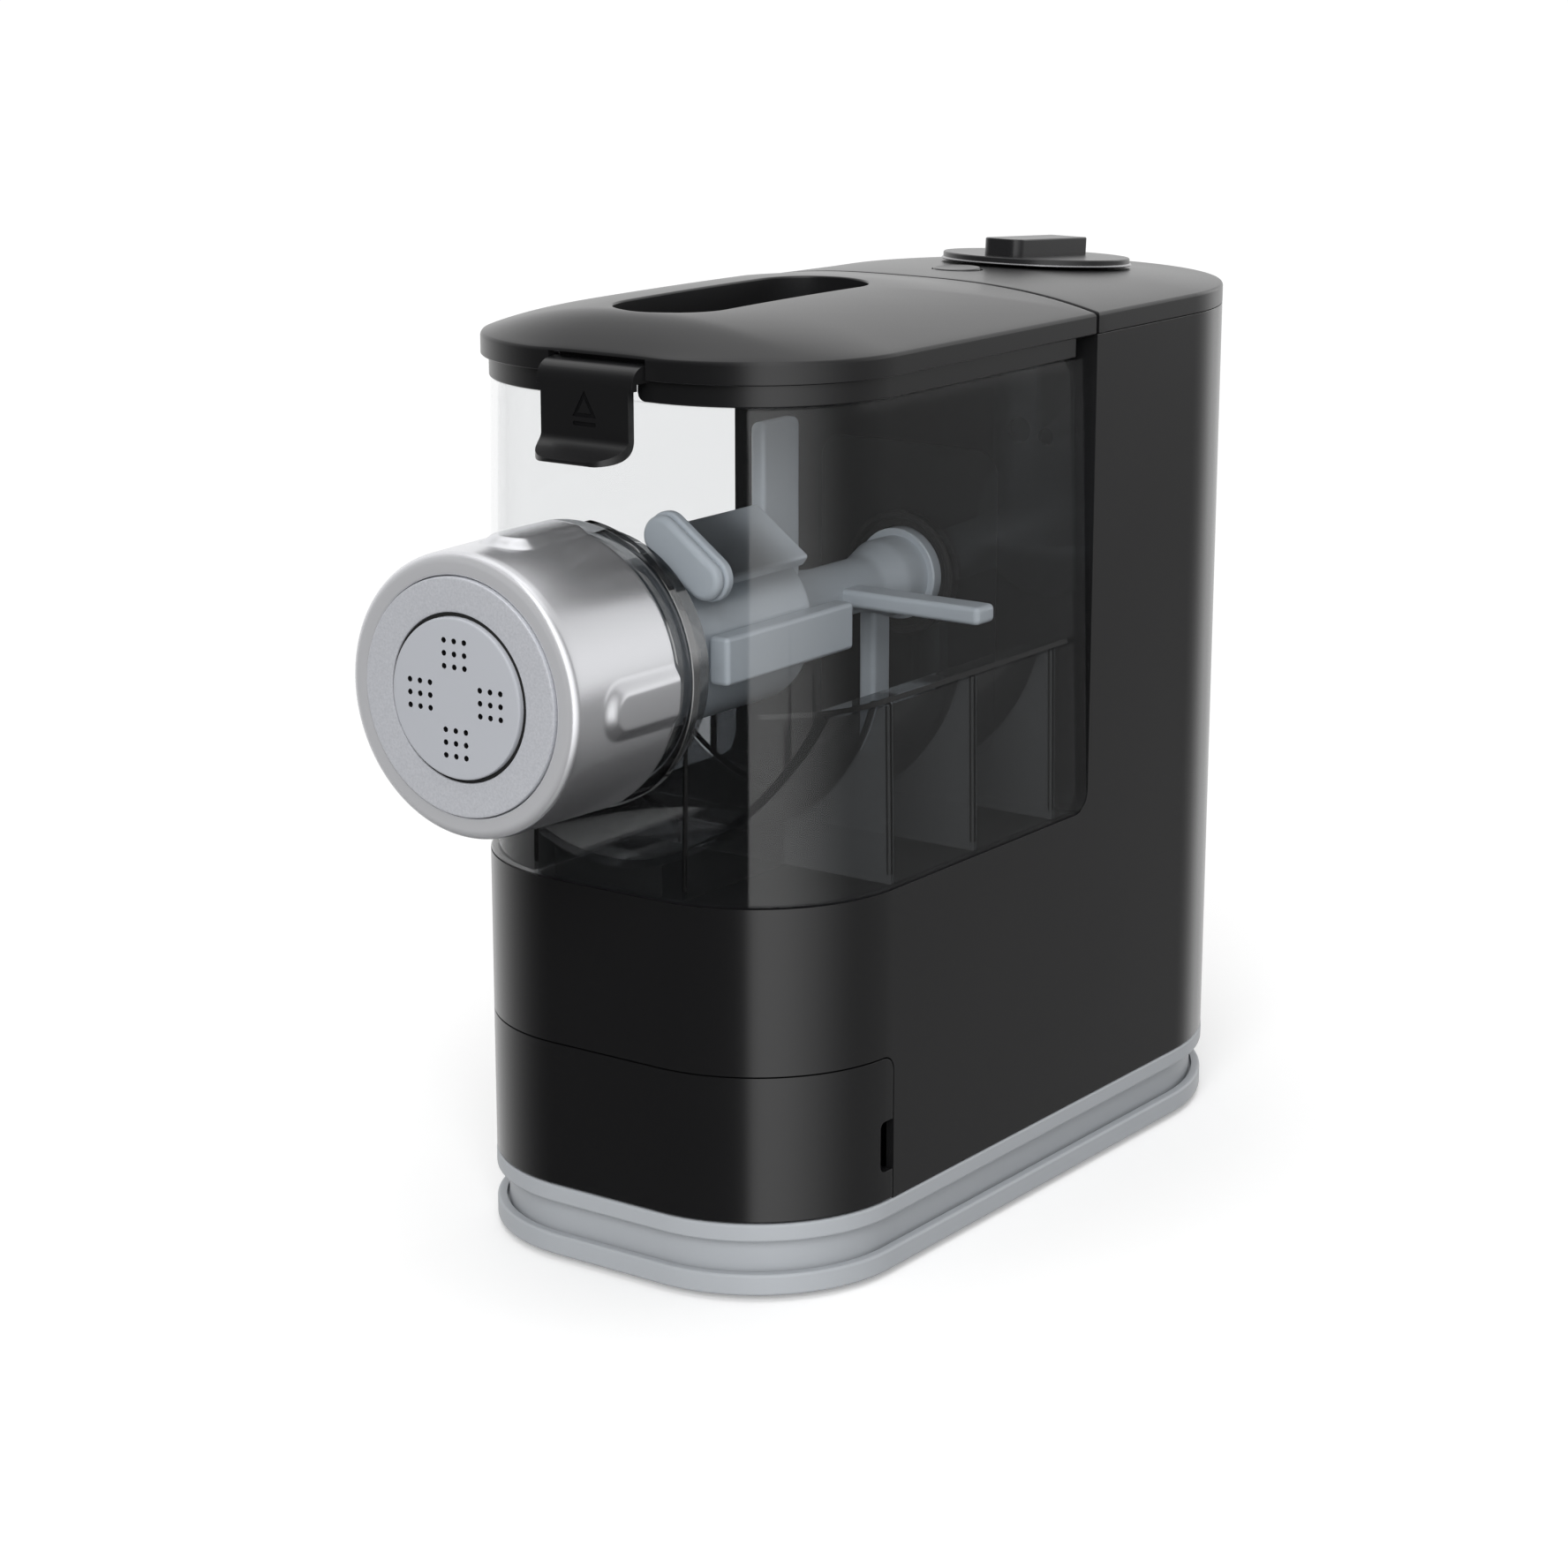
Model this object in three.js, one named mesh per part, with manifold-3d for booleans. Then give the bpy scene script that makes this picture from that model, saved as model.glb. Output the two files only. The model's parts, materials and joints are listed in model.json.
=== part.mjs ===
// Electric pasta maker, free standing, in millimetres, +Z up, the nozzle towards -Y.
// The pieces are placed in the machine's own frame: y = 0 is the seam between the mixing chamber
// and the drive tower, z = 0 is the underside of the plinth. The group at the end puts the origin
// at the middle of the footprint, on the surface that the feet stand on.
import * as THREE from 'three';
import { mergeVertices } from 'three/addons/utils/BufferGeometryUtils.js';
import Module from 'manifold-3d';

const wasm = await Module();
wasm.setup();

// Footprint of the body, seen from above
const bodyWidth = 135;
const chamberLength = 155.85;
const towerLength = 126.6;
const frontCornerRadius = 48;
const halfWidth = bodyWidth / 2;
const frontY = -chamberLength;
const backY = towerLength;
const backCentreY = backY - halfWidth;

// The kneading trough fills the width. It sets the axis over the deck, and the rim over the axis
const troughMargin = 8.5;
const troughBed = 9.24;
const troughHeadroom = 20.66;
const troughRadius = halfWidth - troughMargin;

// Levels, from the underside of the plinth
const footHeight = 2;
const flangeHeight = 6.5;
const grooveHeight = 10;
const ringHeight = 5.5;
const plinthTop = flangeHeight + grooveHeight + ringHeight;
const drawerHeight = 44.7;
const drawerTop = plinthTop + drawerHeight;
const lowerBoxHeight = 49.3;
const deckZ = drawerTop + lowerBoxHeight;
const axisZ = deckZ + troughBed + troughRadius;
const rimZ = axisZ + troughRadius + troughHeadroom;
const rimHeight = 6.3;
const creaseZ = rimZ + rimHeight;

// Walls and clearances that several pieces share
const shellWall = 2.6;
const clearWall = 2.2;
const runningGap = 0.5;
const slideGap = 0.4;
const seatGap = 0.3;
const overrun = 5;
const edgeRound = 0.8;

// The crown of the top: its rise over the crease, and how it fades towards the edge and the back
const crownRise = 8.5;
const crownBackRise = 0.4;
const crownPeakSetback = 64.9;
const crownPower = 2.8;
const crownFrontFall = 20;
const seamBow = 4;

// Smoothness of round shapes
const cornerSteps = 6;
const backSteps = 16;
const roundSides = 32;
const smallSides = 16;
const crownSteps = 4;

// Finishes
const finish = (color, roughness, metalness, opacity = 1) => new THREE.MeshStandardMaterial({
  color, roughness, metalness, opacity, transparent: opacity < 1,
});
const blackPlastic = finish(0x161617, 0.38, 0);
const innerBlack = finish(0x101011, 0.5, 0);
const plinthGrey = finish(0x9aa0a8, 0.42, 0.1);
const clearPlastic = finish(0xd8dcde, 0.08, 0, 0.3);
const foodGrey = finish(0x9fabb8, 0.4, 0);
const satinSilver = finish(0xc3c5c8, 0.25, 1);
const discGrey = finish(0xa8acb4, 0.42, 0.1);
const rubber = finish(0x222222, 0.9, 0);
const steel = finish(0xb8babd, 0.3, 1);
const gearWhite = finish(0xe6e2d6, 0.5, 0);
const castAlloy = finish(0xa5a7aa, 0.5, 0.9);
const copperIron = finish(0x7d6a58, 0.5, 0.6);
const boardGreen = finish(0x1f5a3a, 0.5, 0);

// Turns a closed three.js geometry into a solid that can be joined and cut
function solid(geometry) {
  const bare = geometry.clone();
  bare.deleteAttribute('normal');
  bare.deleteAttribute('uv');
  const merged = mergeVertices(bare, 1e-4);
  const at = merged.attributes.position.array;
  const tri = new Uint32Array(merged.index.array);
  let volume = 0;
  for (let i = 0; i < tri.length; i += 3) {
    const [a, b, c] = [tri[i] * 3, tri[i + 1] * 3, tri[i + 2] * 3];
    volume += at[a] * (at[b + 1] * at[c + 2] - at[b + 2] * at[c + 1])
      + at[a + 1] * (at[b + 2] * at[c] - at[b] * at[c + 2])
      + at[a + 2] * (at[b] * at[c + 1] - at[b + 1] * at[c]);
  }
  if (volume < 0) {
    for (let i = 0; i < tri.length; i += 3) [tri[i + 1], tri[i + 2]] = [tri[i + 2], tri[i + 1]];
  }
  return new wasm.Manifold(new wasm.Mesh({ numProp: 3, vertProperties: at, triVerts: tri }));
}

// Turns a joined or cut solid back into a three.js geometry
function geometryOf(body) {
  const made = body.getMesh();
  const geometry = new THREE.BufferGeometry();
  geometry.setAttribute('position', new THREE.BufferAttribute(new Float32Array(made.vertProperties), 3));
  geometry.setIndex(new THREE.BufferAttribute(new Uint32Array(made.triVerts), 1));
  geometry.computeVertexNormals();
  return geometry;
}

const join = (...bodies) => bodies.reduce((a, b) => a.add(b));
const cut = (body, ...tools) => tools.reduce((a, b) => a.subtract(b), body);

// A box between two corners
function box(x0, x1, y0, y1, z0, z1) {
  return solid(new THREE.BoxGeometry(x1 - x0, y1 - y0, z1 - z0)
    .translate((x0 + x1) / 2, (y0 + y1) / 2, (z0 + z1) / 2));
}

// Round bars along each axis, between two places
function rodX(radius, x0, x1, y, z, sides = smallSides) {
  return solid(new THREE.CylinderGeometry(radius, radius, x1 - x0, sides)
    .rotateZ(Math.PI / 2).translate((x0 + x1) / 2, y, z));
}
function rodY(radius, y0, y1, x = 0, z = axisZ, sides = roundSides) {
  return solid(new THREE.CylinderGeometry(radius, radius, y1 - y0, sides)
    .translate(x, (y0 + y1) / 2, z));
}
function rodZ(radius, z0, z1, x, y, sides = smallSides) {
  return solid(new THREE.CylinderGeometry(radius, radius, z1 - z0, sides)
    .rotateX(Math.PI / 2).translate(x, y, (z0 + z1) / 2));
}

// A turned piece about the Y axis through (x, z): its outline is a list of [radius, y]
function turnedY(outline, x = 0, z = axisZ, sides = roundSides) {
  const points = outline.map(([radius, y]) => new THREE.Vector2(radius, y));
  if (outline[0][0] > 0) points.push(points[0].clone());
  return solid(new THREE.LatheGeometry(points, sides).translate(x, 0, z));
}

// The same about the Z axis through (x, y), its outline a list of [radius, z]
function turnedZ(outline, x, y, sides = roundSides) {
  const points = outline.map(([radius, z]) => new THREE.Vector2(radius, z));
  if (outline[0][0] > 0) points.push(points[0].clone());
  return solid(new THREE.LatheGeometry(points, sides).rotateX(Math.PI / 2).translate(x, y, 0));
}

// Flat outlines pushed along an axis
const plain = (depth) => ({ depth, bevelEnabled: false, curveSegments: cornerSteps });
function alongZ(shape, z0, z1, settings = plain(z1 - z0)) {
  return solid(new THREE.ExtrudeGeometry(shape, settings).translate(0, 0, z0));
}
function alongX(shapeYZ, x0, x1, settings = plain(x1 - x0)) {
  const turn = new THREE.Matrix4().makeBasis(
    new THREE.Vector3(0, 1, 0), new THREE.Vector3(0, 0, 1), new THREE.Vector3(1, 0, 0));
  return solid(new THREE.ExtrudeGeometry(shapeYZ, settings).applyMatrix4(turn).translate(x0, 0, 0));
}
function alongY(shapeXZ, y0, y1, settings = plain(y1 - y0)) {
  const turn = new THREE.Matrix4().makeBasis(
    new THREE.Vector3(1, 0, 0), new THREE.Vector3(0, 0, 1), new THREE.Vector3(0, -1, 0));
  return solid(new THREE.ExtrudeGeometry(shapeXZ, settings).applyMatrix4(turn).translate(0, y1, 0));
}

// A rectangle with its own radius at each corner: low u low v, high u low v, high u high v, low u high v
function roundedRect(u0, u1, v0, v1, radii) {
  const [a, b, c, d] = Array.isArray(radii) ? radii : [radii, radii, radii, radii];
  const shape = new THREE.Shape();
  shape.moveTo(u0 + a, v0).lineTo(u1 - b, v0);
  if (b > 0) shape.absarc(u1 - b, v0 + b, b, -Math.PI / 2, 0);
  shape.lineTo(u1, v1 - c);
  if (c > 0) shape.absarc(u1 - c, v1 - c, c, 0, Math.PI / 2);
  shape.lineTo(u0 + d, v1);
  if (d > 0) shape.absarc(u0 + d, v1 - d, d, Math.PI / 2, Math.PI);
  shape.lineTo(u0, v0 + a);
  if (a > 0) shape.absarc(u0 + a, v0 + a, a, Math.PI, Math.PI * 1.5);
  return shape;
}

// A stretch of a circle as points, from one angle to another
function arc(cx, cy, radius, from, to, steps) {
  return Array.from({ length: steps + 1 }, (_, i) => {
    const angle = from + (to - from) * i / steps;
    return new THREE.Vector2(cx + radius * Math.cos(angle), cy + radius * Math.sin(angle));
  });
}

// The whole footprint, drawn in by an inset: round front corners, and a half circle at the back
function footprint(inset) {
  const radius = frontCornerRadius - inset;
  const cx = halfWidth - frontCornerRadius;
  const cy = frontY + frontCornerRadius;
  return [
    ...arc(-cx, cy, radius, Math.PI, Math.PI * 1.5, cornerSteps),
    ...arc(cx, cy, radius, -Math.PI / 2, 0, cornerSteps),
    ...arc(0, backCentreY, halfWidth - inset, 0, Math.PI, backSteps),
  ];
}

// The seam between lid and top cover bows forward in the middle
const seamY = (x) => -seamBow * (1 - (x / halfWidth) ** 2);

// The lid's outline in front of the seam, and the cover's behind it
function lidOutline(inset, gap) {
  const half = halfWidth - inset;
  const radius = frontCornerRadius - inset;
  const cx = halfWidth - frontCornerRadius;
  const cy = frontY + frontCornerRadius;
  const seam = Array.from({ length: cornerSteps * 2 + 1 }, (_, i) => {
    const x = half * (1 - i / cornerSteps);
    return new THREE.Vector2(x, seamY(x) - gap - inset);
  });
  return [
    ...arc(-cx, cy, radius, Math.PI, Math.PI * 1.5, cornerSteps),
    ...arc(cx, cy, radius, -Math.PI / 2, 0, cornerSteps),
    ...seam,
  ];
}
function coverOutline(inset, gap) {
  const half = halfWidth - inset;
  const seam = Array.from({ length: cornerSteps * 2 + 1 }, (_, i) => {
    const x = half * (i / cornerSteps - 1);
    return new THREE.Vector2(x, seamY(x) + gap + inset);
  });
  return [...seam, ...arc(0, backCentreY, half, 0, Math.PI, backSteps)];
}

// How the crown fades towards the footprint's edge: 1 in the middle, 0 at the edge
function crownFade(x, y) {
  const nose = Math.max(0, frontY + frontCornerRadius - y);
  const curve = Math.sqrt(Math.max(0, frontCornerRadius ** 2 - nose ** 2));
  const halfHere = halfWidth - frontCornerRadius + curve;
  const sideShare = y > backCentreY ? Math.hypot(x, y - backCentreY) / halfWidth : Math.abs(x) / halfHere;
  const frontShare = Math.max(0, 1 - (y - frontY) / crownFrontFall);
  return (1 - Math.min(1, sideShare) ** crownPower) * (1 - Math.min(1, frontShare) ** 2);
}

// Height of the crowned top at a place
function crownZ(x, y) {
  const peakY = frontY + crownPeakSetback;
  const along = (y - peakY) / (backY - peakY);
  const rise = crownRise - (crownRise - crownBackRise) * along * along;
  return creaseZ + rise * crownFade(x, y);
}

// Skins rings of points into one closed body. Open ends are closed with flat or crowned caps.
function skinned(rings, joinEnds = false) {
  const count = rings[0].length;
  const position = rings.flat().flatMap((p) => [p.x, p.y, p.z]);
  const index = [];
  const last = joinEnds ? rings.length : rings.length - 1;
  for (let j = 0; j < last; j += 1) {
    for (let i = 0; i < count; i += 1) {
      const [a, b] = [j * count + i, j * count + (i + 1) % count];
      const k = (j + 1) % rings.length;
      const [c, d] = [k * count + (i + 1) % count, k * count + i];
      index.push(a, b, c, a, c, d);
    }
  }
  if (!joinEnds) {
    const capped = (ring, start, flip) => {
      const flat = ring.map((p) => new THREE.Vector2(p.x, p.y));
      for (const [a, b, c] of THREE.ShapeUtils.triangulateShape(flat, [])) {
        index.push(start + a, start + (flip ? c : b), start + (flip ? b : c));
      }
    };
    capped(rings[0], 0, true);
    capped(rings[rings.length - 1], (rings.length - 1) * count, false);
  }
  const geometry = new THREE.BufferGeometry();
  geometry.setAttribute('position', new THREE.Float32BufferAttribute(position, 3));
  geometry.setIndex(index);
  return solid(geometry);
}
const levelRing = (outline, z) => outline.map((p) => new THREE.Vector3(p.x, p.y, z));

// Walls that follow an outline: a profile of [inset, z] swept round it
const swept = (outlineAt, profile, joinEnds) =>
  skinned(profile.map(([inset, z]) => levelRing(outlineAt(inset), z)), joinEnds);

// A block with a level underside and the crowned top, sunk by a drop for the inner side of a shell
function crownedBlock(outline, bottom, drop, edge) {
  const middle = outline.reduce((sum, p) => sum.add(p), new THREE.Vector2()).divideScalar(outline.length);
  const shrunk = (share, lower) => outline.map((p) => {
    const at = middle.clone().lerp(p, share);
    return new THREE.Vector3(at.x, at.y, crownZ(at.x, at.y) - drop - lower);
  });
  const rings = [levelRing(outline, bottom), shrunk(1, edge)];
  const reach = Math.max(...outline.map((p) => p.distanceTo(middle)));
  rings.push(shrunk(1 - edge / reach, 0));
  for (let k = 1; k < crownSteps; k += 1) rings.push(shrunk(1 - k / crownSteps, 0));
  return skinned(rings);
}

const maker = new THREE.Group();
const machine = new THREE.Group();
maker.add(machine);

// Names a finished body and hangs it in a group
function piece(name, body, material, group = machine) {
  const mesh = new THREE.Mesh(geometryOf(body), material);
  mesh.name = name;
  group.add(mesh);
  return mesh;
}

// Plinth: flange, groove and ring in one frame, with an inner ledge for the base plate
const plinthProud = 0.8;
const grooveDepth = 3.2;
const plinthWall = 7;
const ledgeWidth = 3;
const ledgeHeight = 3;
function makePlinth() {
  const out = -plinthProud;
  const grooveTop = flangeHeight + grooveHeight;
  return swept(footprint, [
    [out + edgeRound, 0], [out, edgeRound], [out, flangeHeight - edgeRound], [out + edgeRound, flangeHeight],
    [grooveDepth, flangeHeight], [grooveDepth, grooveTop], [out + edgeRound, grooveTop],
    [out, grooveTop + edgeRound], [out, plinthTop - edgeRound], [out + edgeRound, plinthTop],
    [plinthWall, plinthTop], [plinthWall, ledgeHeight], [plinthWall + ledgeWidth, ledgeHeight],
    [plinthWall + ledgeWidth, 0],
  ], true);
}

// Drawer: a front that wraps round the nose of the body, and a tray behind it
const drawerDepth = 49.55;
const drawerSeamY = frontY + drawerDepth;
const drawerCorner = 5;
const drawerWall = 2.5;
const notchDepth = 6.4;
const notchRise = 9.4;
const notchHeight = 15.5;
const notchBottom = plinthTop + notchRise;
const notchTop = notchBottom + notchHeight;
const notchBite = 4;
const traySideRoom = 23.5;
const trayHalfWidth = halfWidth - traySideRoom;
const trayBackY = -22;
const trayBackCorner = 4;
const trayLift = 5.5;
const trayHeadroom = 6.7;
const trayTop = drawerTop - trayHeadroom;
const trayWall = 1.8;
const trayFloor = 2;
const trayNose = 6;
const trayTongueWidth = 26;

// Base plate with its drawer rails, air slots and board posts
const plateThickness = 3;
const plateTop = ledgeHeight + plateThickness;
const railWidth = 3;
const railHeight = 16;
const railFootWidth = 8;
const trayFloorZ = plinthTop + trayLift;
const screwSideInset = 15.5;
const screwFrontInset = 57.85;
const screwBackInset = 72.6;
const screwX = halfWidth - screwSideInset;
const screwFrontY = frontY + screwFrontInset;
const screwBackY = backY - screwBackInset;
const screwRadius = 1.6;
const screwHeadRadius = 3;
const screwHeadHeight = 2;
const screwLength = 22;
const screwHoleRadius = screwRadius + seatGap;
const cornerPlaces = (x, y0, y1) => [[-x, y0], [x, y0], [-x, y1], [x, y1]];
const screwPlaces = cornerPlaces(screwX, screwFrontY, screwBackY);
const bossRadius = 4;
const airSlotWidth = 4;
const airSlotPitch = 9;
const airSlotLength = 44;
const airSlotY = 40;
const airSlotCount = 7;
const boardPostRadius = 3;
const boardPostHeight = 12;
const powerBoardWidth = 72;
const powerBoardLength = 56;
const powerBoardY = 8;
const boardThickness = 1.6;
function makeBasePlate() {
  let plate = swept(footprint, [[plinthWall + seatGap, ledgeHeight],
    [plinthWall + seatGap, plateTop]], false);
  const railX = trayHalfWidth + slideGap;
  for (const side of [-1, 1]) {
    const [inner, outer] = [railX - railFootWidth, railX + railWidth].map((x) => side * x);
    const wall = side * railX;
    const [y0, y1] = [drawerSeamY, trayBackY];
    const foot = box(Math.min(inner, outer), Math.max(inner, outer), y0, y1, plateTop, trayFloorZ);
    const guide = box(Math.min(wall, outer), Math.max(wall, outer), y0, y1,
      plateTop, trayFloorZ + railHeight);
    plate = join(plate, foot, guide);
  }
  for (const sx of [-1, 1]) {
    for (const end of [0, 1]) {
      const x = sx * (powerBoardWidth / 2 - boardPostRadius);
      const y = powerBoardY + (end ? powerBoardLength - boardPostRadius : boardPostRadius);
      plate = join(plate, rodZ(boardPostRadius, plateTop, plateTop + boardPostHeight, x, y));
    }
  }
  for (let i = 0; i < airSlotCount; i += 1) {
    const x = (i - (airSlotCount - 1) / 2) * airSlotPitch;
    plate = cut(plate, box(x - airSlotWidth / 2, x + airSlotWidth / 2, airSlotY - airSlotLength / 2,
      airSlotY + airSlotLength / 2, -overrun, plateTop + overrun));
  }
  for (const [x, y] of screwPlaces) {
    plate = cut(plate, rodZ(screwHoleRadius, -overrun, plateTop + overrun, x, y));
  }
  return plate;
}

// Side view of the drawer bay, and of the bay for the mixing chamber, both with a round inner corner
const drawerBay = (grow) => roundedRect(frontY - overrun, drawerSeamY + grow, plinthTop - overrun,
  drawerTop + grow, [0, 0, drawerCorner + grow, 0]);
const chamberCorner = 7;
const chamberBay = (grow) => roundedRect(frontY - overrun, grow, deckZ - grow, rimZ + overrun,
  [0, chamberCorner + grow, 0, 0]);

// Housing: a lower box, and above its deck the drive tower, whose front wall carries the gearbox
const shaftHoleRadius = 14;
const controlShelfDrop = 7.9;
const controlShelfZ = rimZ - controlShelfDrop;
const shelfWidth = 5;
const shelfHeight = 3;
const switchHeight = 11;
const switchBaseZ = controlShelfZ - shelfHeight - switchHeight;
function housingShell() {
  const across = halfWidth + overrun;
  const outer = swept(footprint, [[0, plinthTop], [0, rimZ]], false);
  const hollow = swept(footprint, [[shellWall, plinthTop - overrun], [shellWall, rimZ + overrun]], false);
  const cavity = cut(hollow, alongX(chamberBay(shellWall), -across, across));
  let housing = cut(outer, alongX(chamberBay(0), -across, across), cavity,
    alongX(drawerBay(0), -across, across),
    rodY(shaftHoleRadius, -overrun, shellWall + overrun, 0, axisZ, smallSides));
  for (const [x, y] of screwPlaces) {
    const side = Math.sign(x);
    const post = join(
      rodZ(bossRadius, plateTop, plateTop + screwLength + bossRadius, x, y),
      box(Math.min(x, side * (halfWidth - shellWall / 2)),
        Math.max(x, side * (halfWidth - shellWall / 2)),
        y - bossRadius / 2, y + bossRadius / 2, plinthTop, plateTop + screwLength + bossRadius));
    housing = cut(join(housing, post), rodZ(screwHoleRadius, 0, plateTop + screwLength, x, y));
  }
  const shelfFrom = swept(footprint, [[shellWall / 2, controlShelfZ - shelfHeight],
    [shellWall / 2, controlShelfZ]], false);
  const shelfHole = swept(footprint, [[shellWall + shelfWidth, controlShelfZ - overrun - shelfHeight],
    [shellWall + shelfWidth, controlShelfZ + overrun]], false);
  const shelf = cut(shelfFrom, shelfHole,
    box(-across, across, frontY - overrun, shellWall, controlShelfZ - overrun, controlShelfZ + overrun));
  return join(housing, shelf);
}
const beyond = bodyWidth + overrun;
const makeLowerHousing = () => housingShell().intersect(
  box(-beyond, beyond, frontY - overrun, backY + overrun, 0, deckZ));
const makeDriveTower = () => housingShell().intersect(
  box(-beyond, beyond, frontY - overrun, backY + overrun, deckZ, rimZ + overrun));

function makeDrawerFront() {
  const across = halfWidth + overrun;
  const outer = swept(footprint, [[edgeRound / 2, plinthTop + seatGap],
    [0, plinthTop + seatGap + edgeRound], [0, drawerTop]], false);
  const hollow = swept(footprint, [[drawerWall, plinthTop - overrun],
    [drawerWall, drawerTop - drawerWall]], false);
  const shape = alongX(drawerBay(-slideGap), -across, across);
  const notch = (side) => box(Math.min(side * (halfWidth - notchBite), side * across),
    Math.max(side * (halfWidth - notchBite), side * across),
    drawerSeamY - notchDepth, drawerSeamY + overrun, notchBottom, notchTop);
  const [near, far] = [halfWidth - notchBite - drawerWall, halfWidth - drawerWall];
  const backing = (side) => box(Math.min(side * near, side * far), Math.max(side * near, side * far),
    drawerSeamY - notchDepth - drawerWall, drawerSeamY - slideGap,
    notchBottom - drawerWall, notchTop + drawerWall);
  return cut(join(cut(outer, hollow), backing(-1), backing(1)), notch(-1), notch(1)).intersect(shape);
}

function makeDrawerTray() {
  const front = frontY + drawerWall;
  const frontRadius = frontCornerRadius - drawerWall;
  const radii = [frontRadius / 2, frontRadius / 2, trayBackCorner, trayBackCorner];
  const tray = (inset, z0, z1) => alongZ(roundedRect(-trayHalfWidth + inset, trayHalfWidth - inset,
    front + trayNose + inset, trayBackY - inset, radii.map((radius) => radius - inset)), z0, z1);
  const tongue = box(-trayTongueWidth / 2, trayTongueWidth / 2, front, front + trayNose + trayWall,
    trayFloorZ, trayTop - trayFloor);
  return cut(join(tray(0, trayFloorZ, trayTop), tongue),
    tray(trayWall, trayFloorZ + trayFloor, trayTop + overrun));
}

// Mixing chamber: clear walls with a slight draft, a trough round the kneading axis, ribs below it,
// a neck for the nut, and a rim that the lid's band closes round
const chamberDraft = 2.6;
const chamberGap = 0.6;
const bandHeight = 6.6;
const bandBottom = rimZ - bandHeight;
const bandInset = 2.3;
const bandWall = 2.2;
const chamberRimDrop = 1.5;
const chamberRim = rimZ - chamberRimDrop;
const ledgeDrop = 12.24;
const ledgeZ = axisZ - ledgeDrop;
const ribWidth = 1.6;
const ribCount = 3;
const firstRibSetback = 51.25;
const lastRibSetback = 16.6;
const firstRibY = frontY + firstRibSetback;
const ribPitch = (chamberLength - firstRibSetback - lastRibSetback) / (ribCount - 1);
const noseRibX = 27;
const tubeRadius = 24.9;
const neckWall = 11.7;
const neckRadius = tubeRadius + neckWall;
const neckLength = 52;
const neckRoot = 6;
const neckFrontY = frontY - neckLength;
const collarProud = 4.4;
const collarRadius = neckRadius + collarProud;
const collarWidth = 4;
const collarSetback = 7;
const sealRadius = 19.5;
function chamberOutline(inset) {
  const radius = frontCornerRadius - inset;
  const cx = halfWidth - frontCornerRadius;
  const cy = frontY + frontCornerRadius;
  const back = -chamberGap - inset;
  const half = halfWidth - inset;
  return [
    ...arc(-cx, cy, radius, Math.PI, Math.PI * 1.5, cornerSteps),
    ...arc(cx, cy, radius, -Math.PI / 2, 0, cornerSteps),
    new THREE.Vector2(half, back), new THREE.Vector2(-half, back),
  ];
}
const chamberFoot = deckZ + seatGap;
const rimInset = bandInset + bandWall + seatGap;
const draftAt = (z) => chamberDraft * (z - chamberFoot) / (bandBottom - chamberFoot);
function chamberShape() {
  const across = halfWidth + overrun;
  return swept(chamberOutline, [[0, chamberFoot], [chamberDraft, bandBottom],
    [rimInset, bandBottom], [rimInset, chamberRim]], false)
    .intersect(alongX(chamberBay(-chamberGap), -across, across));
}
function makeChamber() {
  const across = halfWidth + overrun;
  const foot = chamberFoot;
  const wallAt = (z) => [draftAt(z) + clearWall, z];
  const rimWall = rimInset + clearWall;
  const upper = swept(chamberOutline, [wallAt(ledgeZ), wallAt(bandBottom - rimWall),
    [rimWall, bandBottom], [rimWall, chamberRim + overrun]], false);
  const insideY0 = frontY + clearWall + draftAt(ledgeZ);
  const insideY1 = -chamberGap - clearWall - draftAt(ledgeZ);
  const inside = swept(chamberOutline, [wallAt(foot), wallAt(bandBottom - rimWall)], false);
  const trough = rodY(troughRadius, insideY0, insideY1).intersect(inside);
  const under = swept(chamberOutline, [wallAt(foot - overrun), wallAt(ledgeZ - clearWall)], false);
  let below = cut(under, rodY(troughRadius + clearWall, insideY0 - overrun, insideY1 + overrun));
  for (let i = 0; i < ribCount; i += 1) {
    const y = firstRibY + i * ribPitch;
    below = cut(below, box(-across, across, y - ribWidth / 2, y + ribWidth / 2, foot, axisZ));
  }
  for (const side of [-1, 1]) {
    const x = side * noseRibX;
    below = cut(below, box(x - ribWidth / 2, x + ribWidth / 2, frontY, firstRibY, foot, axisZ));
  }
  return cut(chamberShape(), upper, trough, below,
    rodY(tubeRadius + seatGap, frontY - overrun, frontY + clearWall + overrun),
    rodY(sealRadius, -chamberGap - clearWall - overrun - chamberDraft, overrun));
}

// The sleeve in front of the chamber that holds the tube and carries the nut, with its collar
function makeNeck() {
  const sleeve = join(rodY(neckRadius, neckFrontY, frontY + neckRoot),
    rodY(collarRadius, frontY - collarSetback - collarWidth, frontY - collarSetback));
  return cut(sleeve, chamberShape(),
    rodY(tubeRadius + seatGap, neckFrontY - overrun, frontY + neckRoot + overrun));
}

// The ring that seals the hook's hub in the back wall of the chamber
const hubRadius = 16.6;
const sealWidth = 5;
function makeShaftSeal() {
  const back = -chamberGap;
  return turnedY([[hubRadius + runningGap, back - sealWidth], [sealRadius, back - sealWidth],
    [sealRadius, back], [hubRadius + runningGap, back]]);
}

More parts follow.
